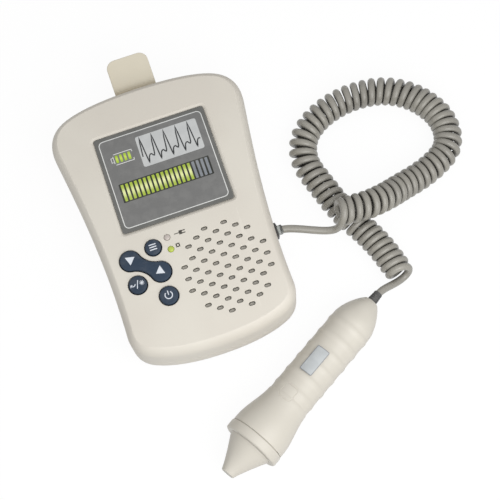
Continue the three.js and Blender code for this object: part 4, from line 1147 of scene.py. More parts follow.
@dataclass
class BatteryDoor:
    """Door that slides towards the foot, with finger ridges and an arrow that shows the way."""

    case: CaseShape
    end: float = -26.082
    half: float = 28.15
    tongue: float = 1.2
    lip: float = 0.7
    thickness: float = 1.8
    grips: int = 6
    grip_first: float = -30.6
    grip_pitch: float = 1.9
    grip_size: Point = (22.0, 1.1)
    arrow_at: float = -47.5
    arrow_depth: float = 0.4
    arrow: Points = ((0.0, -3.2), (3.4, 0.6), (1.3, 0.6), (1.3, 3.2), (-1.3, 3.2), (-1.3, 0.6), (-3.4, 0.6))

    def form(self, grow: float) -> Form:
        """The space of the door, grown by a gap, before the case's skin trims its end."""
        near, far = self.end + grow, -self.case.length / 2 - 4
        inner, outer = self.half + grow, self.half + self.tongue + grow
        ledge, top = self.lip + self.case.gap - grow, self.thickness + grow
        section = [(-inner, -4), (inner, -4), (inner, ledge), (outer, ledge), (outer, top), (-outer, top),
                   (-outer, ledge), (-inner, ledge)]
        return Form().rings([[(x, y, z) for x, z in section] for y in (near, far)])

    def marks(self) -> Form:
        """Cutter for the finger ridges, which are longest in the middle, and for the arrow."""
        form = Form()
        length, width = self.grip_size
        for i in range(self.grips):
            ridge = capsule(length - abs(i - (self.grips - 1) / 2), width, 8)
            form.plus(Form().stack(ridge, [(0.35, -3), (0.35, -0.02), (0.12, 0.2), (-0.15, 0.5)])
                      .at(0, self.grip_first - self.grip_pitch * i))
        return form.plus(Form().rings([[(x, y, z) for x, y in self.arrow] for z in (-3.0, self.arrow_depth)])
                         .at(0, self.arrow_at))

    def build(self) -> None:
        """Makes the door."""
        door = self.form(0).mesh("battery_door_skin")
        carve(door, Carve.COMMON, self.case.rear_skin())
        carve(door, Carve.CUT, self.marks())
        dress(door, CASE, ["battery_door"], Body.DOOR)


@dataclass
class DisplayPanel:
    """Printed sheet in the recess with its border, battery, pulse window and bar graph."""

    size: Point = (55.5, 49.6)
    at: Point = (0.0, 21.76)
    corner: float = 1.3
    low: float = 29.3
    high: float = 30.0
    ink: float = 0.012
    border: Point = (51.6, 45.6)
    border_corner: float = 2.2
    border_line: float = 0.42
    window: Point = (30.6, 16.0)
    window_at: Point = (7.1, 33.65)
    bars: Point = (45.2, 9.7)
    bars_at: Point = (-0.1, 16.4)
    bars_edge: Point = (0.9, 1.1)
    bar_gap: float = 0.88
    bar_count: int = 20
    bar_lit: int = 16
    battery_at: Point = (-16.3, 33.9)
    battery_line: float = 0.34
    charges: int = 4
    charge_size: Spot = (1.25, 3.9, 0.15)
    charge_row: Point = (-3.2, 2.1)
    trace_at: Point = (-6.3, 40.7)
    trace_line: float = 0.62
    pulses: int = 5
    pulse_pitch: float = 6.07
    last_pulse: int = 11
    rise: Points = ((-0.9, -9.8), (-0.62, -6.0), (-0.3, -2.2))
    beat: Points = (
        (0.0, 0.0), (0.36, -3.4), (0.82, -9.0), (1.14, -12.4), (1.36, -13.2), (1.6, -12.6), (1.9, -11.0), (2.3, -10.1),
        (2.8, -9.6), (3.3, -9.5), (3.7, -9.9), (4.1, -10.5), (4.5, -10.7), (4.86, -10.0), (5.14, -7.6), (5.5, -3.2))

    def lay(self, art: Flat, name: str, finish: Finish, layer: int) -> None:
        """Makes a printed piece.

        Args:
            art: its artwork, in the unit's frame.
            name: the piece's name.
            finish: its ink.
            layer: how many inks lie under it.
        """
        form = art.laid(level(0), self.high - 0.05, self.high + self.ink * (layer + 1))
        dress(form.mesh(name), finish)

    def sheet(self) -> None:
        """The sheet itself, with a fine round on its edge."""
        outline = shifted(rounded_rect(*self.size, self.corner), *self.at)
        form = Form().stack(outline, [
            (-0.1, self.low), (0, self.low + 0.1), (0, self.high - 0.14), (-0.05, self.high - 0.04),
            (-0.16, self.high)])
        dress(form.mesh("printed_sheet"), RIM, ["display_overlay"])

    def frame_lines(self) -> None:
        """The grey field and the thin white line round it."""
        width, height = self.border
        self.lay(Flat().rounded(width, height, self.border_corner).at(*self.at), "print_field", SHEET, 0)
        line = rounded_rect(width, height, self.border_corner)(0)
        self.lay(Flat().stroke(line, self.border_line, True).at(*self.at), "print_border", LINE, 1)

    def battery(self) -> None:
        """Battery sign: an outline that is open at its corners, a nub and charge bars."""
        outline = drawn([
            ([(4.9, 1.6), (4.7, 2.75), (-4.3, 2.75)], self.battery_line),
            ([(-4.7, 1.9), (-4.7, -1.9)], self.battery_line),
            ([(-4.3, -2.75), (4.7, -2.75), (4.9, -1.6)], self.battery_line),
            ([(-5.0, 1.15), (-5.9, 1.15), (-5.9, -1.15), (-5.0, -1.15)], self.battery_line - 0.02)])
        self.lay(outline.at(*self.battery_at), "print_battery", LINE, 1)
        charge = Flat()
        first, pitch = self.charge_row
        for i in range(self.charges):
            charge.plus(Flat().rounded(*self.charge_size, 6).at(first + pitch * i, 0))
        self.lay(charge.at(*self.battery_at), "print_charge", CHARGE, 1)

    def pulse(self) -> None:
        """The pale window with its pulses, the last of them cut short by the window's end."""
        self.lay(Flat().rounded(*self.window, 1.0).at(*self.window_at), "print_window", WINDOW, 1)
        trace = [*self.rise, *((x + i * self.pulse_pitch, y) for i in range(self.pulses) for x, y in self.beat)]
        shown = len(trace) - len(self.beat) + self.last_pulse
        self.lay(Flat().stroke(trace[:shown], self.trace_line).at(*self.trace_at), "print_trace", TRACE, 2)

    def bar_graph(self) -> None:
        """Bars in a dark frame, the first of them lit."""
        width, height = self.bars
        self.lay(Flat().rounded(width, height, 0.3, 12).at(*self.bars_at), "print_bar_frame", BAR_INK, 1)
        width, height = width - self.bars_edge[0], height - self.bars_edge[1]
        pitch = width / self.bar_count
        lit, dark = Flat(), Flat()
        for i in range(self.bar_count):
            bar = Flat().rounded(pitch - self.bar_gap, height, 0.12, 10).at((i + 0.5) * pitch - width / 2, 0)
            (lit if i < self.bar_lit else dark).plus(bar)
        self.lay(lit.at(*self.bars_at), "print_bars_lit", BAR_LIT, 2)
        self.lay(dark.at(*self.bars_at), "print_bars_unlit", BAR_DARK, 2)

    def build(self) -> None:
        """Makes the sheet and everything printed on it."""
        self.sheet()
        self.frame_lines()
        self.battery()
        self.pulse()
        self.bar_graph()


@dataclass(frozen=True)
class RoundKey:
    """One round key: its body, its place and its radius."""

    body: Body
    at: Point
    radius: float


@dataclass
class Keypad:
    """Three round keys and the two lobed rocker, with their printed signs."""

    mode: RoundKey = RoundKey(Body.KEY_MODE, (-16.395, -14.008), 3.8)
    sound: RoundKey = RoundKey(Body.KEY_SOUND, (-28.595, -29.008), 4.3)
    power: RoundKey = RoundKey(Body.KEY_POWER, (-16.395, -38.608), 4.4)
    down_at: Point = (-28.595, -16.708)
    up_at: Point = (-16.395, -26.308)
    lobe: float = 4.9
    waist: float = 5.5
    play: float = 0.45
    rim_low: float = 26.6
    rim_high: float = 27.6
    flange: float = 0.9
    top: float = 31.2
    crown: float = 0.2
    edge: float = 0.75
    crown_width: float = 1.9
    tab: float = 6.0
    ink: Point = (-0.06, 0.03)

    @property
    def waist_place(self) -> Spot:
        """Middle of the rocker's waist, and its turn."""
        left, right = Vector(self.down_at), Vector(self.up_at)
        middle, way = (left + right) / 2, right - left
        return middle.x, middle.y, atan2(way.y, way.x)

    def rocker_outline(self) -> Outline:
        """Two lobes joined by a smooth waist that is hollow on both sides."""
        reach = (Vector(self.up_at) - Vector(self.down_at)).length / 2
        fillet = (reach ** 2 + self.waist ** 2 / 4 - self.lobe ** 2) / (2 * self.lobe - self.waist)
        rise = self.waist / 2 + fillet
        spread = atan2(rise, reach)

        def ring(grow: float) -> list[Point]:
            """The outline at a growth."""
            lobe, hollow = self.lobe + grow, fillet - grow
            points = []
            for side in (1, -1):
                start = -pi + spread if side > 0 else spread
                sweep = 2 * (pi - spread)
                points.extend(polar(lobe, start + sweep * i / 24, side * reach) for i in range(25))
                first = -side * spread if side > 0 else pi - spread
                turn = -(pi - 2 * spread)
                points.extend(polar(hollow, first + turn * i / 14, 0, side * rise) for i in range(1, 14))
            return points

        return shifted(ring, *self.waist_place)

    def holes(self) -> list[Outline]:
        """Outlines of the holes that the keys stand in."""
        round_holes = [shifted(circle(k.radius + self.play, 40), *k.at) for k in (self.mode, self.sound, self.power)]
        rocker = self.rocker_outline()
        return [*round_holes, lambda grow: rocker(grow + self.play)]

    def dome(self, key: RoundKey) -> Place:
        """Places artwork on the crown of a round key."""
        flat = key.radius - self.edge

        def place(x: float, y: float, height: float) -> Spot:
            """A spot over the crown."""
            share = min(1.0, hypot(x, y) / flat)
            return (key.at[0] + x, key.at[1] + y, self.top + self.crown * (1 - share ** 2) + height)

        return place

    def edge_levels(self) -> list[Point]:
        """Inset and height of the round between a key's side and its top."""
        return [(self.edge * (1 - cos(a)), self.top - self.edge * (1 - sin(a))) for a in EDGE_BENDS]

    def cap(self, key: RoundKey) -> None:
        """Makes one round key cap with its hidden rim."""
        name = key.body.value
        wide, flat = key.radius + self.flange, key.radius - self.edge
        profile = [(0.0, self.rim_low), (wide, self.rim_low), (wide, self.rim_high), (key.radius, self.rim_high)]
        profile += [(key.radius - inset, z) for inset, z in self.edge_levels()]
        profile += [(flat * s, self.top + self.crown * (1 - s ** 2)) for s in (0.92, 0.75, 0.5, 0.25, 0.0)]
        form = Form().turned(profile, 72).at(*key.at)
        dress(form.mesh(name + "_cap"), KEY, [name], key.body)

    def rocker(self) -> None:
        """Makes the rocker with its waist tabs."""
        levels = [(0.0, self.rim_low), *((-inset, z) for inset, z in self.edge_levels())]
        levels += [(-self.edge - d, self.top + self.crown * (1 - (1 - d / self.crown_width) ** 2))
                   for d in (0.3, 0.8, 1.3, self.crown_width)]
        cap = Form().stack(self.rocker_outline(), levels).mesh("key_rocker_cap")
        tabs = shifted(rounded_rect(self.tab, self.waist + 2 * self.flange, 0.4, 3), *self.waist_place)
        carve(cap, Carve.JOIN, Form().stack(tabs, [(0, self.rim_low + 0.004), (0, self.rim_high)]))
        dress(cap, KEY, ["key_rocker"], Body.KEY_ROCKER)

    def sign(self, art: Flat, name: str, key: RoundKey) -> None:
        """Prints a sign on a round key."""
        dress(art.laid(self.dome(key), *self.ink).mesh(name), KEY_PRINT, body=key.body)

    def signs(self) -> None:
        """Prints the signs of all keys."""
        menu = drawn(([(-1.7 + 0.34 * i, y) for i in range(11)], 0.52) for y in (1.25, 0.0, -1.25))
        self.sign(menu, "sign_menu", self.mode)
        sound = drawn([
            ([(-0.7, -1.9), (-0.3, -0.7), (0.1, 0.5), (0.6, 2.0)], 0.42),
            ([(-3.3, 0.35), (-2.8, -0.25), (-2.1, -0.45), (-1.4, -0.1), (-1.0, 0.5)], 0.42),
            ([(-3.45, -0.6), (-3.3, 0.35), (-2.4, 0.55)], 0.34),
            *(([polar(reach, pi * i / 4 + 0.2, 2.1, 0.25) for reach in (-1.15, 0, 1.15)], 0.3) for i in range(4))])
        self.sign(sound, "sign_sound", self.sound)
        arc = [polar(1.75, radians(a)) for a in range(130, 411, 14)]
        self.sign(drawn([(arc, 0.46), ([(0, 0.1), (0, 1.0), (0, 2.2)], 0.46)]), "sign_power", self.power)
        for name, spot, corners in (
            ("sign_down", self.down_at, ((-1.9, 2.0), (-0.3, -2.4), (2.6, 1.0))),
            ("sign_up", self.up_at, ((0.3, 2.7), (-2.5, -0.6), (1.7, -1.7))),
        ):
            form = Flat().polygon(corners).at(*spot).laid(level(self.top + self.crown), *self.ink)
            dress(form.mesh(name), KEY_PRINT, body=Body.KEY_ROCKER)

    def build(self) -> None:
        """Makes the caps and their signs."""
        for key in (self.mode, self.sound, self.power):
            self.cap(key)
        self.rocker()
        self.signs()


@dataclass
class Lamps:
    """The grey and the green lamp and the two small signs beside them."""

    case: CaseShape
    grey_at: Point = (-8.652, -11.288)
    green_at: Point = (-8.652, -17.388)
    radius: float = 1.46
    collar: float = 1.25
    low: float = 23.9
    neck: Point = (25.1, 25.2)
    shoulder: float = 0.1
    crown: float = 0.7
    plug_by: Point = (6.0, 0.3)
    ring_by: Point = (3.7, 0.8)

    def lamp(self, name: str, at: Point, finish: Finish, slot: str) -> None:
        """Makes one lamp with a round end and its collar."""
        r, wide, shoulder = self.radius, self.collar * self.radius, self.case.face - self.shoulder
        crown = [(r * cos(a), shoulder + self.crown * sin(a)) for a in map(radians, range(0, 90, 12))]
        profile = [(0.0, self.low), (wide, self.low), (wide, self.neck[0]), (r, self.neck[1]), *crown,
                   (0.0, shoulder + self.crown)]
        form = Form().turned(profile, 48).at(*at)
        dress(form.mesh(name + "_body"), finish, [name])

    def signs(self) -> None:
        """Prints a small plug beside the grey lamp and a ring with rays beside the green one."""
        plug = drawn([([(-2.4, 0.0), (-1.1, 0.0), (0.0, 0.0)], 0.4)])
        plug.polygon([(0.0, -1.0), (1.5, -1.0), (1.5, 1.0), (0.0, 1.0)])
        plug.stroke([(1.5, 0.6), (3.1, 0.6)], 0.5).stroke([(1.5, -0.6), (3.1, -0.6)], 0.5)
        plug.at(self.grey_at[0] + self.plug_by[0], self.grey_at[1] + self.plug_by[1])
        ring = Flat().stroke(circle(0.78, 16)(0), 0.55, True)
        for i in range(4):
            ring.stroke([polar(reach, QUARTER * (i + 0.5)) for reach in (1.05, 1.4)], 0.26)
        ring.at(self.green_at[0] + self.ring_by[0], self.green_at[1] + self.ring_by[1])
        form = plug.plus(ring).laid(level(self.case.face), -0.05, 0.02)
        dress(form.mesh("face_signs"), FACE_PRINT)

    def build(self) -> None:
        """Makes both lamps and their signs."""
        self.lamp("led_status", self.grey_at, LAMP_GREY, "lamp_grey")
        self.lamp("led_power", self.green_at, LAMP_GREEN, "lamp_green")
        self.signs()


@dataclass
class ProbeHolder:
    """Channel behind the top edge that the probe is pushed into."""

    start: float = 68.3
    reach: float = 19.0
    width: float = 21.0
    plate: float = 2.4
    low: float = 3.0
    high: float = 22.4
    bend_low: float = 3.4
    bend_high: float = 6.6
    corner: float = 4.5
    soft: float = 0.45
    bore: float = 1.4
    bore_ends: Point = (60.0, 80.0)
    screws: Points = ((-5.5, 9.0), (5.5, 9.0))

    def section(self) -> list[Point]:
        """The channel's section: along Y and up Z, counter clockwise."""
        t, far = self.plate, self.start + self.reach

        def arc(bend: float, z: float, radius: float, first: float, last: float) -> list[Point]:
            """Points round a bend."""
            return [polar(radius, radians(first + (last - first) * i / 10), self.start + bend, z)
                    for i in range(11)]

        low, high = self.bend_low, self.bend_high
        lower, upper = self.low + low, self.high - high
        return [
            (far, self.low), (far, self.low + t), *arc(low, lower, low - t, 270, 180),
            *arc(high, upper, high - t, 180, 90), (far, self.high - t), (far, self.high),
            *arc(high, upper, high, 90, 180), *arc(low, lower, low, 180, 270),
        ]

    def screw_bores(self) -> Form:
        """Bores for the two holder screws, along Y."""
        form = Form()
        near, far = self.bore_ends
        for x, z in self.screws:
            form.plus(Form().stack(circle(self.bore, 20), [(0, -far), (0, -near)])
                      .placed(Matrix.Rotation(QUARTER, 4, "X")).at(x, 0, z))
        return form

    def build(self) -> None:
        """Makes the channel with round free corners and soft edges."""
        half = self.width / 2
        channel = Form().rings([[(x, y, z) for y, z in self.section()] for x in (-half, half)])
        made = channel.mesh("probe_holder_channel")
        trim = rounded_rect(self.width + 0.002, 2 * self.reach, self.corner, 12)
        carve(made, Carve.COMMON, Form().stack(trim, [(0, 0), (0, 40)]).at(0, self.start))
        carve(made, Carve.CUT, self.screw_bores())
        soften(made, self.soft, 3, 50)
        dress(made, HOLDER, ["probe_holder"], smooth=30)


@dataclass
class CordSocket:
    """Socket in the right wall with the clear plug of the cord in it."""

    y: float = -21.896
    z: float = 17.7
    face_x: float = 42.1
    size: Point = (9.6, 8.0)
    neck: Point = (7.0, 6.2)
    neck_length: float = 3.0
    proud: float = 0.3
    depth: float = 10.0
    plug: Point = (5.8, 4.6)
    plug_in: float = 7.4
    plug_out: float = 2.6
    plug_play: float = 0.5
    latch: Point = (2.6, 1.0)
    blade: Point = (0.32, 0.5)
    blades: int = 4
    blade_pitch: float = 1.02

    def seated(self, form: Form) -> Form:
        """A form, turned so that its Z runs out along the socket's axis."""
        turn = Matrix.Rotation(QUARTER, 4, "Z") @ Matrix.Rotation(QUARTER, 4, "X")
        return form.placed(turn).at(0, self.y, self.z)

    def along_x(self, outline: Outline, levels: Levels) -> Form:
        """A stack whose levels run along X at the socket's axis."""
        return self.seated(Form().stack(outline, levels))

    def wall_opening(self) -> Form:
        """The opening in the side wall."""
        mouth = rounded_rect(self.neck[0] + 0.4, self.neck[1] + 0.4, 0.5, 3)
        return self.along_x(mouth, [(0, self.face_x - self.depth), (0, self.face_x + 4)])

    def body(self, face: float) -> None:
        """Makes the socket, its mouth at a place along X."""
        back, step = self.face_x - self.depth, self.face_x - self.neck_length
        body, neck = rounded_rect(*self.size, 0.4, 4), rounded_rect(*self.neck, 0.5, 4)
        mouth = rounded_rect(*(side + self.plug_play for side in self.plug), 0.2, 4)
        made = self.along_x(body, [(-0.2, back), (0, back + 0.2), (0, step)]).mesh("socket_body")
        carve(made, Carve.JOIN, self.along_x(neck, [
            (0, step - 0.2), (0, face - 0.3), (-0.1, face - 0.08), (-0.3, face)]))
        carve(made, Carve.CUT, self.along_x(mouth, [
            (0, face - self.plug_in - 0.3), (0, face - 0.35), (0.12, face - 0.1), (0.3, face + 0.02), (0.3, face + 2)]))
        dress(made, BLACK, ["modular_jack"])

    def plug_and_blades(self, face: float) -> None:
        """Makes the clear plug with its latch, and its contacts."""
        inner = rounded_rect(*self.plug, 0.3, 4)
        outer = rounded_rect(self.plug[0] - 1.7, self.plug[1] - 0.3, 0.6, 4)
        start, end, rise = face - self.plug_in, face + self.plug_out, self.plug[1] / 2
        made = self.seated(Form().layers([
            (inner, -0.3, start), (inner, 0, start + 0.3), (inner, 0, face + 0.1), (inner, -0.1, face + 0.3),
            (outer, 0, face + 0.32), (outer, 0, end - 0.6), (outer, -0.15, end - 0.2), (outer, -0.5, end)]))
        made = made.mesh("plug_body")
        latch = shifted(rounded_rect(*self.latch, 0.3, 4), 0, rise - 0.3)
        carve(made, Carve.JOIN, self.along_x(latch, [
            (-0.3, face - 0.2), (0, face + 0.3), (0.05, face + 1.3), (-0.2, end - 0.7), (-0.35, end - 0.5)]))
        dress(made, CLEAR, ["modular_plug"])
        blades = Form()
        for i in range(self.blades):
            spot = ((i - (self.blades - 1) / 2) * self.blade_pitch, -rise - 0.05)
            blades.plus(self.along_x(shifted(rounded_rect(*self.blade, 0.1, 2), *spot), [
                (0, start + 0.6), (0, start + 3.4)]))
        dress(blades.mesh("plug_contacts"), BRASS)

    def build(self) -> None:
        """Makes the socket, the plug and the plug's contacts."""
        face = self.face_x + self.proud
        self.body(face)
        self.plug_and_blades(face)


@dataclass(frozen=True)
class ScrewSize:
    """Sizes of a screw: radius and height of its head, radius and length of its shank, pitch of its thread."""

    head: float
    height: float
    shank: float
    length: float
    pitch: float = 0.8
    core: float = 0.8

    def form(self) -> Form:
        """One screw with its point up: head under 0, shank above."""
        head, height, core = self.head, self.height, self.shank * self.core
        profile = [(0.0, -height), (head * 0.62, -height), (head * 0.86, -height * 0.82), (head, -height * 0.45),
                   (head, -0.1), (head - 0.1, 0.0), (self.shank, 0.0)]
        for i in range(int((self.length - 2 * self.pitch) / self.pitch)):
            z = self.pitch * (i + 0.5)
            profile += [(core, z), (self.shank, z + self.pitch / 2)]
        return Form().turned([*profile, (core, self.length - 1.5 * self.pitch), (0.0, self.length)], 28)

    def arm(self, turn: float) -> Form:
        """Cutter for one arm of the cross slot."""
        return Form().stack(shifted(capsule(self.head * 1.1, self.head * 0.24, 4), 0, 0, turn), [
            (0.1, -self.height - 1), (0.04, -self.height - 0.01), (-0.08, -self.height * 0.45)])


@dataclass
class Fasteners:
    """Screws with round heads and cross slots, in place of the plain ones."""

    case_size: ScrewSize = ScrewSize(2.6, 1.8, 1.4, 11.2)
    case_level: float = 10.0
    holder_size: ScrewSize = ScrewSize(2.0, 1.3, 1.1, 6.4)
    holder_gap: float = 0.3

    def make(self, name: str, size: ScrewSize, place: Matrix) -> None:
        """Makes one screw at a place."""
        made = size.form().mesh(name + "_steel")
        for turn in (0.0, QUARTER):
            carve(made, Carve.CUT, size.arm(turn))
        settle(made, place)
        dress(made, SCREW, [name], smooth=30)

    def build(self, case: CaseShape, holder: ProbeHolder) -> None:
        """Makes the case screws and the holder screws."""
        for i, spot in enumerate(case.screw_spots):
            self.make(f"case_screw_{i + 1}", self.case_size, Matrix.Translation((*spot, self.case_level)))
        y = holder.start + holder.plate + self.holder_gap
        for i, (x, z) in enumerate(holder.screws):
            place = Matrix.Translation((x, y, z)) @ Matrix.Rotation(QUARTER, 4, "X")
            self.make(f"holder_screw_{i + 1}", self.holder_size, place)


def smoothstep(value: float, low: float, high: float) -> float:
    """Smooth rise from 0 to 1 between two limits."""
    t = min(1.0, max(0.0, (value - low) / (high - low)))
    return t * t * (3 - 2 * t)


class Route:
    """Smooth curve through points, its speed set by the distance between them."""

    TINY = 1e-4

    def __init__(self, points: Sequence[Vector], divisions: int = 200) -> None:
        """Keeps the points and measures the curve.

        Args:
            points: the places that it passes.
            divisions: steps that its length is measured in.
        """
        self.points = list(points)
        self.divisions = divisions
        spots = [self.point(i / divisions) for i in range(divisions + 1)]
        self.lengths = [0.0]
        for a, b in zip(spots, spots[1:]):
            self.lengths.append(self.lengths[-1] + (b - a).length)

    @property
    def length(self) -> float:
        """Length of the whole curve."""
        return self.lengths[-1]

    def point(self, t: float) -> Vector:
        """The place at a share of the points."""
        pts, last = self.points, len(self.points) - 1
        i = min(int(last * t), last - 1)
        reach = last * t - i
        p1, p2 = pts[i], pts[i + 1]
        p0 = pts[i - 1] if i else 2 * p1 - p2
        p3 = pts[i + 2] if i + 2 <= last else 2 * p2 - p1
        d0, d1, d2 = [max(self.TINY, sqrt((b - a).length)) for a, b in ((p0, p1), (p1, p2), (p2, p3))]
        start = ((p1 - p0) / d0 - (p2 - p0) / (d0 + d1) + (p2 - p1) / d1) * d1
        end = ((p2 - p1) / d1 - (p3 - p1) / (d1 + d2) + (p3 - p2) / d2) * d1
        return (p1 + start * reach + (3 * (p2 - p1) - 2 * start - end) * reach ** 2
                + (2 * (p1 - p2) + start + end) * reach ** 3)

    def share(self, u: float) -> float:
        """The share of the points at a share of the length."""
        reach = min(1.0, max(0.0, u)) * self.length
        low = min(bisect_right(self.lengths, reach), self.divisions) - 1
        span = self.lengths[low + 1] - self.lengths[low]
        return (low + (reach - self.lengths[low]) / span) / self.divisions

    def at(self, u: float) -> Vector:
        """The place at a share of the length."""
        return self.point(self.share(u))

    def way(self, u: float) -> Vector:
        """The direction at a share of the length."""
        t = self.share(u)
        return (self.point(min(1.0, t + self.TINY)) - self.point(max(0.0, t - self.TINY))).normalized()


@dataclass
class Cord:
    """The cord from the plug: a plain lead, a curly loop over the table and a lead into the boot."""

    diameter: float = 3.7
    curl: float = 5.25
    curls: int = 62
    open_turn: float = 0.58
    spread: float = 0.38
    far_bend: Point = (126.0, 134.0)
    far_crowd: float = 0.2
    end_bend: Point = (26.0, 36.0)
    end_crowd: float = 0.12
    exit: Spot = (45.3, -21.896, 17.7)
    wind_out: float = 7.0
    step: float = 0.62
    eased: int = 60
    passes: int = 10
    axis_steps: int = 900
    coil_steps: int = 4200
    bend_span: float = 0.02
    far_closing: float = 0.2
    lead_steps: int = 80
    sides: int = 14
    loop: tuple[Spot, ...] = (
        (72.2, -24.9, 24.9), (75.6, -24.9, 23.7), (79.8, -25, 22.8), (88.2, -24.6, 20.6), (98.1, -22.3, 16.4),
        (107.6, -18.9, 11.6), (117.7, -15.8, 8.4), (127.9, -11.7, 7.2), (135.4, -6.7, 7.2), (139.0, 0.9, 7.2),
        (138.6, 10.2, 7.2), (134.7, 18.5, 7.2), (128.9, 25.3, 7.2), (121.7, 30.4, 7.2), (114.3, 33.3, 7.2),
        (105.7, 34.6, 7.2), (96.7, 34.4, 7.2), (87.7, 32.5, 7.2), (79.4, 28.9, 7.2), (72.6, 23.4, 7.2),
        (68.7, 16, 7.2), (68, 8.3, 7.2), (69.9, 0.5, 7.2), (72.4, -7.5, 7.2), (75, -15.8, 7.2), (78.9, -24.8, 7.2),
        (83.4, -33.2, 7.2), (87, -41.2, 7.2), (89.5, -48.7, 7.2), (91.2, -55.2, 7.3), (92.0, -59.2, 7.8))
    from_plug: tuple[Spot, ...] = ((-1.6, 0, 0), (0.3, -0.05, 0), (2.4, -0.6, -0.1))
    to_coil: tuple[Spot, ...] = (
        (53.1, -24.6, 17.4), (60.4, -27.7, 16.8), (66.4, -30.0, 16.8), (69.5, -30.8, 18.2), (70.9, -30.7, 20.8))
    to_boot: tuple[Spot, ...] = ((93.0, -60.4, 2.9), (88.6, -61.9, 4.6), (83.9, -63.2, 7.7))
    joins: Spot = (1.8, 1.6, 2.4)

    def coil(self) -> list[Vector]:
        """Middle of the curly stretch, in fine steps. The curls close up in the bends and at the end."""
        axis = Route([Vector(p) for p in self.loop], self.axis_steps)
        length, span, up = axis.length, self.bend_span, Vector((0, 0, 1))
        frames, weights = [], []
        for i in range(self.coil_steps + 1):
            u = i / self.coil_steps
            along, spot = axis.way(u), axis.at(u)
            side = up.cross(along).normalized()
            frames.append((spot, side, along.cross(side)))
            bend = axis.way(max(0.0, u - span)).angle(axis.way(min(1.0, u + span))) / (2 * span * length)
            closing = 1 - self.far_closing * smoothstep(u * length, length - self.wind_out, length)
            crowd = (1 + self.far_crowd * smoothstep(spot.x, *self.far_bend)
                     + self.end_crowd * smoothstep(-spot.y, *self.end_bend))
            weights.append((1 - bend * self.curl * self.spread) * closing * crowd)
        sweep, total, phase = 2 * pi * (self.curls + self.open_turn), sum(weights), 0.0
        path = []
        for (spot, side, lift), weight in zip(frames, weights):
            phase += sweep * weight / total
            angle = pi - phase
            path.append(spot + self.curl * (side * cos(angle) + lift * sin(angle)))
        return path

    def centres(self, boot_end: Vector, boot_way: Vector) -> list[Vector]:
        """Middle of the whole cord.

        Args:
            boot_end: where it goes into the boot.
            boot_way: direction from the probe out through the boot.

        Returns:
            Places in even steps, the leads eased the more the nearer they are to an end.
        """
        path = self.coil()
        before, after, into = self.joins
        heading, away = (path[1] - path[0]).normalized(), (path[-1] - path[-6]).normalized()
        lead_in = Route([
            *(Vector(self.exit) + Vector(p) for p in self.from_plug), *map(Vector, self.to_coil),
            path[0] - heading * before, path[0]])
        lead_out = Route([
            path[-1], path[-1] + away * after, *map(Vector, self.to_boot), boot_end + boot_way * into, boot_end])
        steps = self.lead_steps
        rough = [lead_in.at(i / steps) for i in range(steps)] + path
        rough += [lead_out.at(i / steps) for i in range(1, steps + 1)]
        even = [rough[0]]
        for spot in rough[1:]:
            if (spot - even[-1]).length >= self.step:
                even.append(spot)
        for reach in range(self.eased, self.eased - 2 * self.passes, -2):
            for i in (*range(1, reach), *range(len(even) - reach, len(even) - 1)):
                even[i] = (even[i - 1] + 2 * even[i] + even[i + 1]) / 4
        return even

    def build(self, boot_end: Vector, boot_way: Vector) -> None:
        line = self.centres(boot_end, boot_way)
        made = Form().tube(line, self.diameter / 2, self.sides).mesh("curly_cord")
        dress(made, CORD, ["cord_lead_in", "cord_coil", "cord_lead_out"], smooth=60)
        length = sum((b - a).length for a, b in zip(line, line[1:])) * MM
        [c * MM for c in self.exit]
        log.info("cord length %.3f m", length)


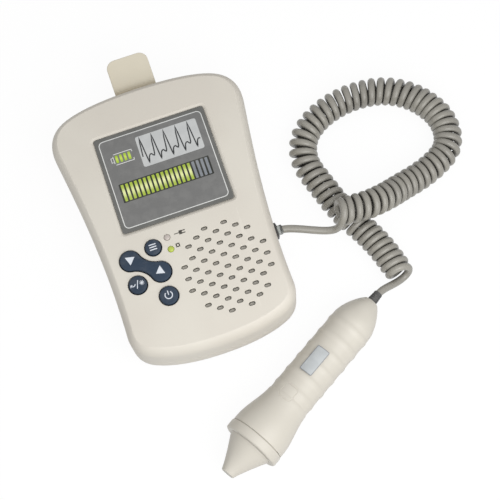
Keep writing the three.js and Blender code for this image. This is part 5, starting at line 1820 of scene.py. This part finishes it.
@dataclass
class Probe:
    """Pencil probe: nose, flange ring, ridged body, blank label and boot, turned about one axis."""

    tip: Spot = (-17.0, -123.7, 15.6797)
    turn: float = radians(31.5)
    dip: float = asin(3.7 / 72.95)
    length: float = 106.5
    sides: int = 96
    grip: float = 10.9
    flange: float = 14.3
    wall: float = 1.8
    nose_length: float = 16.1
    nose_tip: float = 3.4
    nose_base: float = 11.3
    collar_start: float = 16.14
    collar_end: float = 21.24
    body_start: float = 21.3
    body_radius: float = 14.0
    flare_start: float = 23.4
    grip_start: float = 44.25
    grip_end: float = 91.65
    ridge_first: float = 48.2
    ridge_pitch: float = 7.9
    ridge_depth: float = 0.34
    ridge_edge: float = 6.0
    tail: float = 3.5
    label_centre: float = 64.7
    label_size: Point = (14.1, 6.7)
    label_turn: float = radians(7)
    label_rise: float = 0.3
    label_line: float = 0.28
    mark_at: Point = (45.5, -0.2)
    mark_size: Spot = (7.2, 6.8, 1.5)
    mark_line: float = 0.32
    collar_bore: float = 9.4
    collar_front: float = 1.1
    collar_rear: Point = (0.7, 0.9)
    boot_bore: float = 1.72
    boot_reach: Point = (-5.4, 5.6)
    boot_rings: int = 4
    boot_pitch: float = 1.05
    cord_end: float = 4.4

    @property
    def place(self) -> Matrix:
        """Matrix from the probe's own frame, its tip at 0 and its axis along Z."""
        return (Matrix.Translation(self.tip) @ Matrix.Rotation(self.turn, 4, "Z")
                @ Matrix.Rotation(pi / 2 + self.dip, 4, "Y"))

    def radius(self, along: float) -> float:
        """Radius of the body at a distance from the tip."""
        if along < self.grip_start:
            t = max(0.0, (along - self.flare_start) / (self.grip_start - self.flare_start))
            return self.grip + (self.body_radius - self.grip) * (1 + cos(pi * t)) / 2
        if along < self.grip_end:
            crest = abs(cos(pi * (along - self.ridge_first) / self.ridge_pitch))
            return self.grip - self.ridge_depth * (1 - crest ** self.ridge_edge)
        t = min(1.0, (along - self.grip_end) / (self.length - self.grip_end))
        waist = self.grip - self.ridge_depth
        return self.tail + (waist - self.tail) * max(0.0, 1 - t ** 1.55) ** 0.86

    def turned(self, name: str, profile: Levels, finish: Finish, slot: str, cad: str) -> None:
        """Makes one piece that is turned about the probe's axis."""
        sides = self.sides if finish is PROBE else self.sides // 2
        dress(Form().turned(profile, sides).placed(self.place).mesh(name), finish, [cad])

    def nose(self) -> None:
        """Makes the nose: a hollow cone that flares, with a ring round the lens."""
        tip, flare = self.nose_tip, self.nose_base - self.nose_tip
        outer = [(tip + flare * t ** 1.15, self.nose_length * t) for t in (i / 24 for i in range(1, 25))]
        outer = [(tip - 0.3, 0.0), (tip - 0.05, 0.12), *outer]
        inner = [(8.8, self.nose_length), (2.4, 7.1), (2.4, 0.35), (2.65, 0.0)]
        self.turned("nose_cone", [*outer, *inner, outer[0]], PROBE, "probe_plastic", "probe_nose")

    def collar(self) -> None:
        """Makes the flange ring with round edges."""
        start, end, bore, outer = self.collar_start, self.collar_end, self.collar_bore, self.flange
        edge, (deep, tall) = self.collar_front, self.collar_rear
        bends = [radians(a) for a in range(0, 91, 15)]
        front = [(outer - edge + edge * sin(a), start + edge * (1 - cos(a))) for a in bends]
        rear = [(outer - deep + deep * cos(a), end - tall + tall * sin(a)) for a in bends]
        profile = [(bore, start), *front, *rear, (bore, end), (bore, start)]
        self.turned("flange_ring", profile, PROBE, "probe_plastic", "probe_collar")

    def on_skin(self, along: float, across: float, height: float, radius: float) -> Spot:
        """A spot over the body's top side, in the probe's frame: across is an arc length."""
        angle = pi - self.label_turn + across / radius
        reach = radius + height
        return (reach * cos(angle), reach * sin(angle), along)

    def body(self) -> None:
        """Makes the ridged body, with a shallow groove round a rounded rectangle near the flange."""
        stations = [self.body_start + (self.grip_start - self.body_start) * i / 26 for i in range(26)]
        stations += [self.grip_start + (self.grip_end - self.grip_start) * i / 120 for i in range(120)]
        stations += [self.grip_end + (self.length - self.grip_end) * sin(QUARTER * i / 26) for i in range(27)]
        outer = [(self.radius(s), s) for s in stations]
        outer = [(outer[0][0] - 0.3, outer[0][1]), (outer[0][0] - 0.08, outer[0][1] + 0.1), *outer[1:]]
        grip = self.grip - self.ridge_depth - self.wall
        inner = [(2.8, self.length), (2.8, self.length - self.wall), (3.9, self.length - 2 * self.wall),
                 (grip, self.grip_end), (grip, self.grip_start), (self.body_radius - self.wall, self.body_start)]
        made = Form().turned([*outer, *inner, outer[0]], 96).mesh("probe_body_shell")
        line = divided(rounded_rect(*self.mark_size, 6)(0), 3)
        loop = []
        for along, across in shifted(lambda grow: line, *self.mark_at)(0):
            loop.append(Vector(self.on_skin(along, across, 0.1, self.radius(along))))
        carve(made, Carve.CUT, Form().tube(loop, self.mark_line, 8, True))
        settle(made, self.place)
        dress(made, PROBE, ["probe_body"])

    def label(self) -> None:
        """Makes the blank silver label with a darker edge line."""
        length, width = self.label_size
        skin = self.grip + self.label_rise

        def place(x: float, y: float, height: float) -> Spot:
            """A spot over the skin."""
            return tuple(self.place @ Vector(self.on_skin(self.label_centre + x, y, height, skin)))

        plate = Flat().rounded(length, width, 0.6, 20).laid(place, 0.0, 0.3).mesh("label_plate")
        dress(plate, LABEL, ["probe_label"])
        line = divided(rounded_rect(length - 0.3, width - 0.3, 0.5, 5)(0), 4)
        edge = Flat().stroke(line, self.label_line, True).laid(place, 0.2, 0.34).mesh("label_line")
        dress(edge, LABEL_EDGE)

    def boot(self) -> None:
        """Makes the rubber boot with relief rings that the cord comes out of."""
        start, end = (self.length + reach for reach in self.boot_reach)
        bore = self.boot_bore
        profile = [(bore, end - 1.2), (bore, start), (3.6, start), (3.6, start + 1.6), (2.5, start + 1.6),
                   (2.5, self.length + 0.5)]
        for i in range(self.boot_rings):
            base, reach = self.length + 0.7 + self.boot_pitch * i, 2.5 - 0.09 * i
            profile += [(reach, base), (reach - 0.18, base + 0.14), (reach - 0.2, base + 0.4),
                        (reach - 0.05, base + 0.55)]
        profile += [(2.14, end - 0.35), (2.08, end - 0.1), (1.95, end), (1.8, end - 0.05), (bore, end - 0.3),
                    (bore, end - 1.2)]
        self.turned("boot_rubber", profile, BOOT, "boot_rubber", "cord_boot")

    def lens(self) -> None:
        """Makes the polished lens in the tip, slightly hollow."""
        profile = [(0.0, 0.12), (0.8, 0.1), (1.5, 0.05), (1.95, 0.0), (2.1, 0.08), (2.1, 0.8), (0.0, 0.8)]
        self.turned("lens_disc", profile, LENS, "lens_resin", "probe_lens")

    def build(self) -> tuple[Vector, Vector]:
        """Makes the probe.

        Returns:
            Where the cord goes into the boot, and the direction out of it.
        """
        self.nose()
        self.collar()
        self.body()
        self.label()
        self.boot()
        self.lens()
        way = (self.place.to_3x3() @ Vector((0, 0, 1))).normalized()
        return Vector(self.tip) + way * (self.length + self.cord_end), way


def dress_inside() -> None:
    """Gives every node that keeps its shape a finished surface."""
    for finish, names in (
        (GLASS, "lcd_glass"), (GUIDE, "lcd_light_guide"), (BLACK, "lcd_frame"), (CIRCUIT, "main_board probe_board"),
        (MAT, "keypad_mat"), (STEEL, "speaker_basket speaker_magnet"), (PAPER, "speaker_cone"),
        (CELL, "battery_upper battery_lower"), (BRASS, "contact_bridge contact_upper contact_lower"),
        (CRYSTAL, "crystal_transmit crystal_receive"), (BACKING, "crystal_backing"),
        (SCREW, "board_screw_1 board_screw_2 board_screw_3 board_screw_4"),
    ):
        for name in names.split():
            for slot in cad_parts[name].material_slots:
                slot.material = finish.material()
            log.info("%s keeps its shape, %s", name, finish.name)


@dataclass
class Studio:
    """Camera, lamps, floor and world."""

    eye: Spot = (-7.913, -211.174, 659.989)
    target: Spot = (27.105, -25.846, 15.0)
    roll: float = radians(8.33)
    lens: float = 100.8
    sensor: float = 36.0
    clip: Point = (0.01, 50.0)
    lamp_at: Spot = (0.10, -0.24, 0.26)
    lamp_aim: Spot = (0.02, -0.05, 0.02)
    lamp_size: float = 0.34
    lamp_watts: float = 0.68
    floor_reach: float = 6.0
    floor_drop: float = 0.0002
    paper_glow: float = 1.1
    paper_share: float = 0.85
    fill: float = 0.325
    fill_up: float = 0.48
    fill_back: float = -0.16

    def camera(self) -> None:
        """Sets the camera as in the photograph."""
        data = bpy.data.cameras.new("camera")
        data.lens, data.sensor_width, (data.clip_start, data.clip_end) = self.lens, self.sensor, self.clip
        made = shown("camera", data)
        forward = (Vector(self.target) - Vector(self.eye)).normalized()
        right = forward.cross(Vector((0, 0, 1))).normalized()
        up = right.cross(forward)
        turn = Matrix.Rotation(self.roll, 3, forward)
        axes = Matrix((turn @ right, turn @ up, -forward)).transposed()
        made.matrix_world = Matrix.Translation(Vector(self.eye) * MM) @ axes.to_4x4()
        bpy.context.scene.camera = made

    def lamp(self) -> None:
        """Adds one soft lamp. Its places and its size are in metres."""
        data = bpy.data.lights.new("key", "AREA")
        data.shape, data.size, data.energy = "DISK", self.lamp_size, self.lamp_watts
        made = shown("key", data)
        made.location = self.lamp_at
        made.visible_camera = False
        made.rotation_euler = (Vector(self.lamp_aim) - Vector(self.lamp_at)).to_track_quat("-Z", "Y").to_euler()

    @staticmethod
    def seen(w: Wiring) -> Output:
        """One where the camera sees a surface, whether straight, mirrored or through clear plastic."""
        path = w.add("LightPath").outputs
        return w.math("MAXIMUM", w.math("MAXIMUM", path["Is Camera Ray"], path["Is Glossy Ray"]),
                      path["Is Transmission Ray"])

    def floor(self) -> None:
        """Lays a plain white floor that keeps the soft shadows. Its sizes are in metres."""
        mesh = bpy.data.meshes.new("floor")
        reach, drop = self.floor_reach, -self.floor_drop
        corners = ((-1, -1), (1, -1), (1, 1), (-1, 1))
        mesh.from_pydata([(reach * x, reach * y, drop) for x, y in corners], [], [(0, 1, 2, 3)])
        made = shown("floor", mesh)
        paper = bpy.data.materials.new("studio paper")
        w = Wiring.afresh(paper)
        matt = w.add("BsdfDiffuse", {"Color": (0.5, 0.5, 0.5, 1)})
        glow = w.add("Emission", {"Color": (1, 1, 1, 1), "Strength": self.paper_glow})
        share = w.math("MULTIPLY", self.seen(w), self.paper_share)
        both = w.add("MixShader", {0: share, 1: matt.outputs[0], 2: glow.outputs[0]})
        w.add("OutputMaterial", {"Surface": both.outputs[0]})
        mesh.materials.append(paper)

    def world(self) -> None:
        """Fills the room with even light, and shows plain white behind everything."""
        world = bpy.data.worlds.new("studio")
        bpy.context.scene.world = world
        w = Wiring.afresh(world)
        way = w.add("SeparateXYZ", {0: w.add("TexCoord").outputs["Generated"]}).outputs
        level_up = w.math("MULTIPLY_ADD", way[2], self.fill_up, self.fill)
        strength = w.math("ADD", level_up, w.math("MULTIPLY", way[1], self.fill_back))
        fill = w.add("Background", {"Color": (1, 1, 1, 1), "Strength": strength})
        white = w.add("Background", {"Color": (1, 1, 1, 1), "Strength": 1.0})
        both = w.add("MixShader", {0: self.seen(w), 1: fill.outputs[0], 2: white.outputs[0]})
        w.add("OutputWorld", {"Surface": both.outputs[0]})

    def build(self) -> None:
        """Sets up the whole studio."""
        self.camera()
        self.floor()
        self.world()
        self.lamp()
        bpy.context.scene.view_settings.view_transform = "Standard"


def main() -> None:
    """Builds the studio, then every sub-assembly, and notes the sizes."""
    logging.basicConfig(level=logging.INFO, format="%(name)s: %(message)s")
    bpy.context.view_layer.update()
    Studio().build()
    case, keys, socket, holder = CaseShape(), Keypad(), CordSocket(), ProbeHolder()
    panel, lamps, door, probe = DisplayPanel(), Lamps(case), BatteryDoor(case), Probe()
    boot_end, boot_way = probe.build()
    socket.build()
    Cord().build(boot_end, boot_way)
    FrontCover(case).build(keys, panel, lamps, socket)
    RearCover(case).build(door, holder)
    door.build()
    panel.build()
    keys.build()
    lamps.build()
    holder.build()
    Fasteners().build(case, holder)
    dress_inside()


if __name__ == "__main__":
    main()
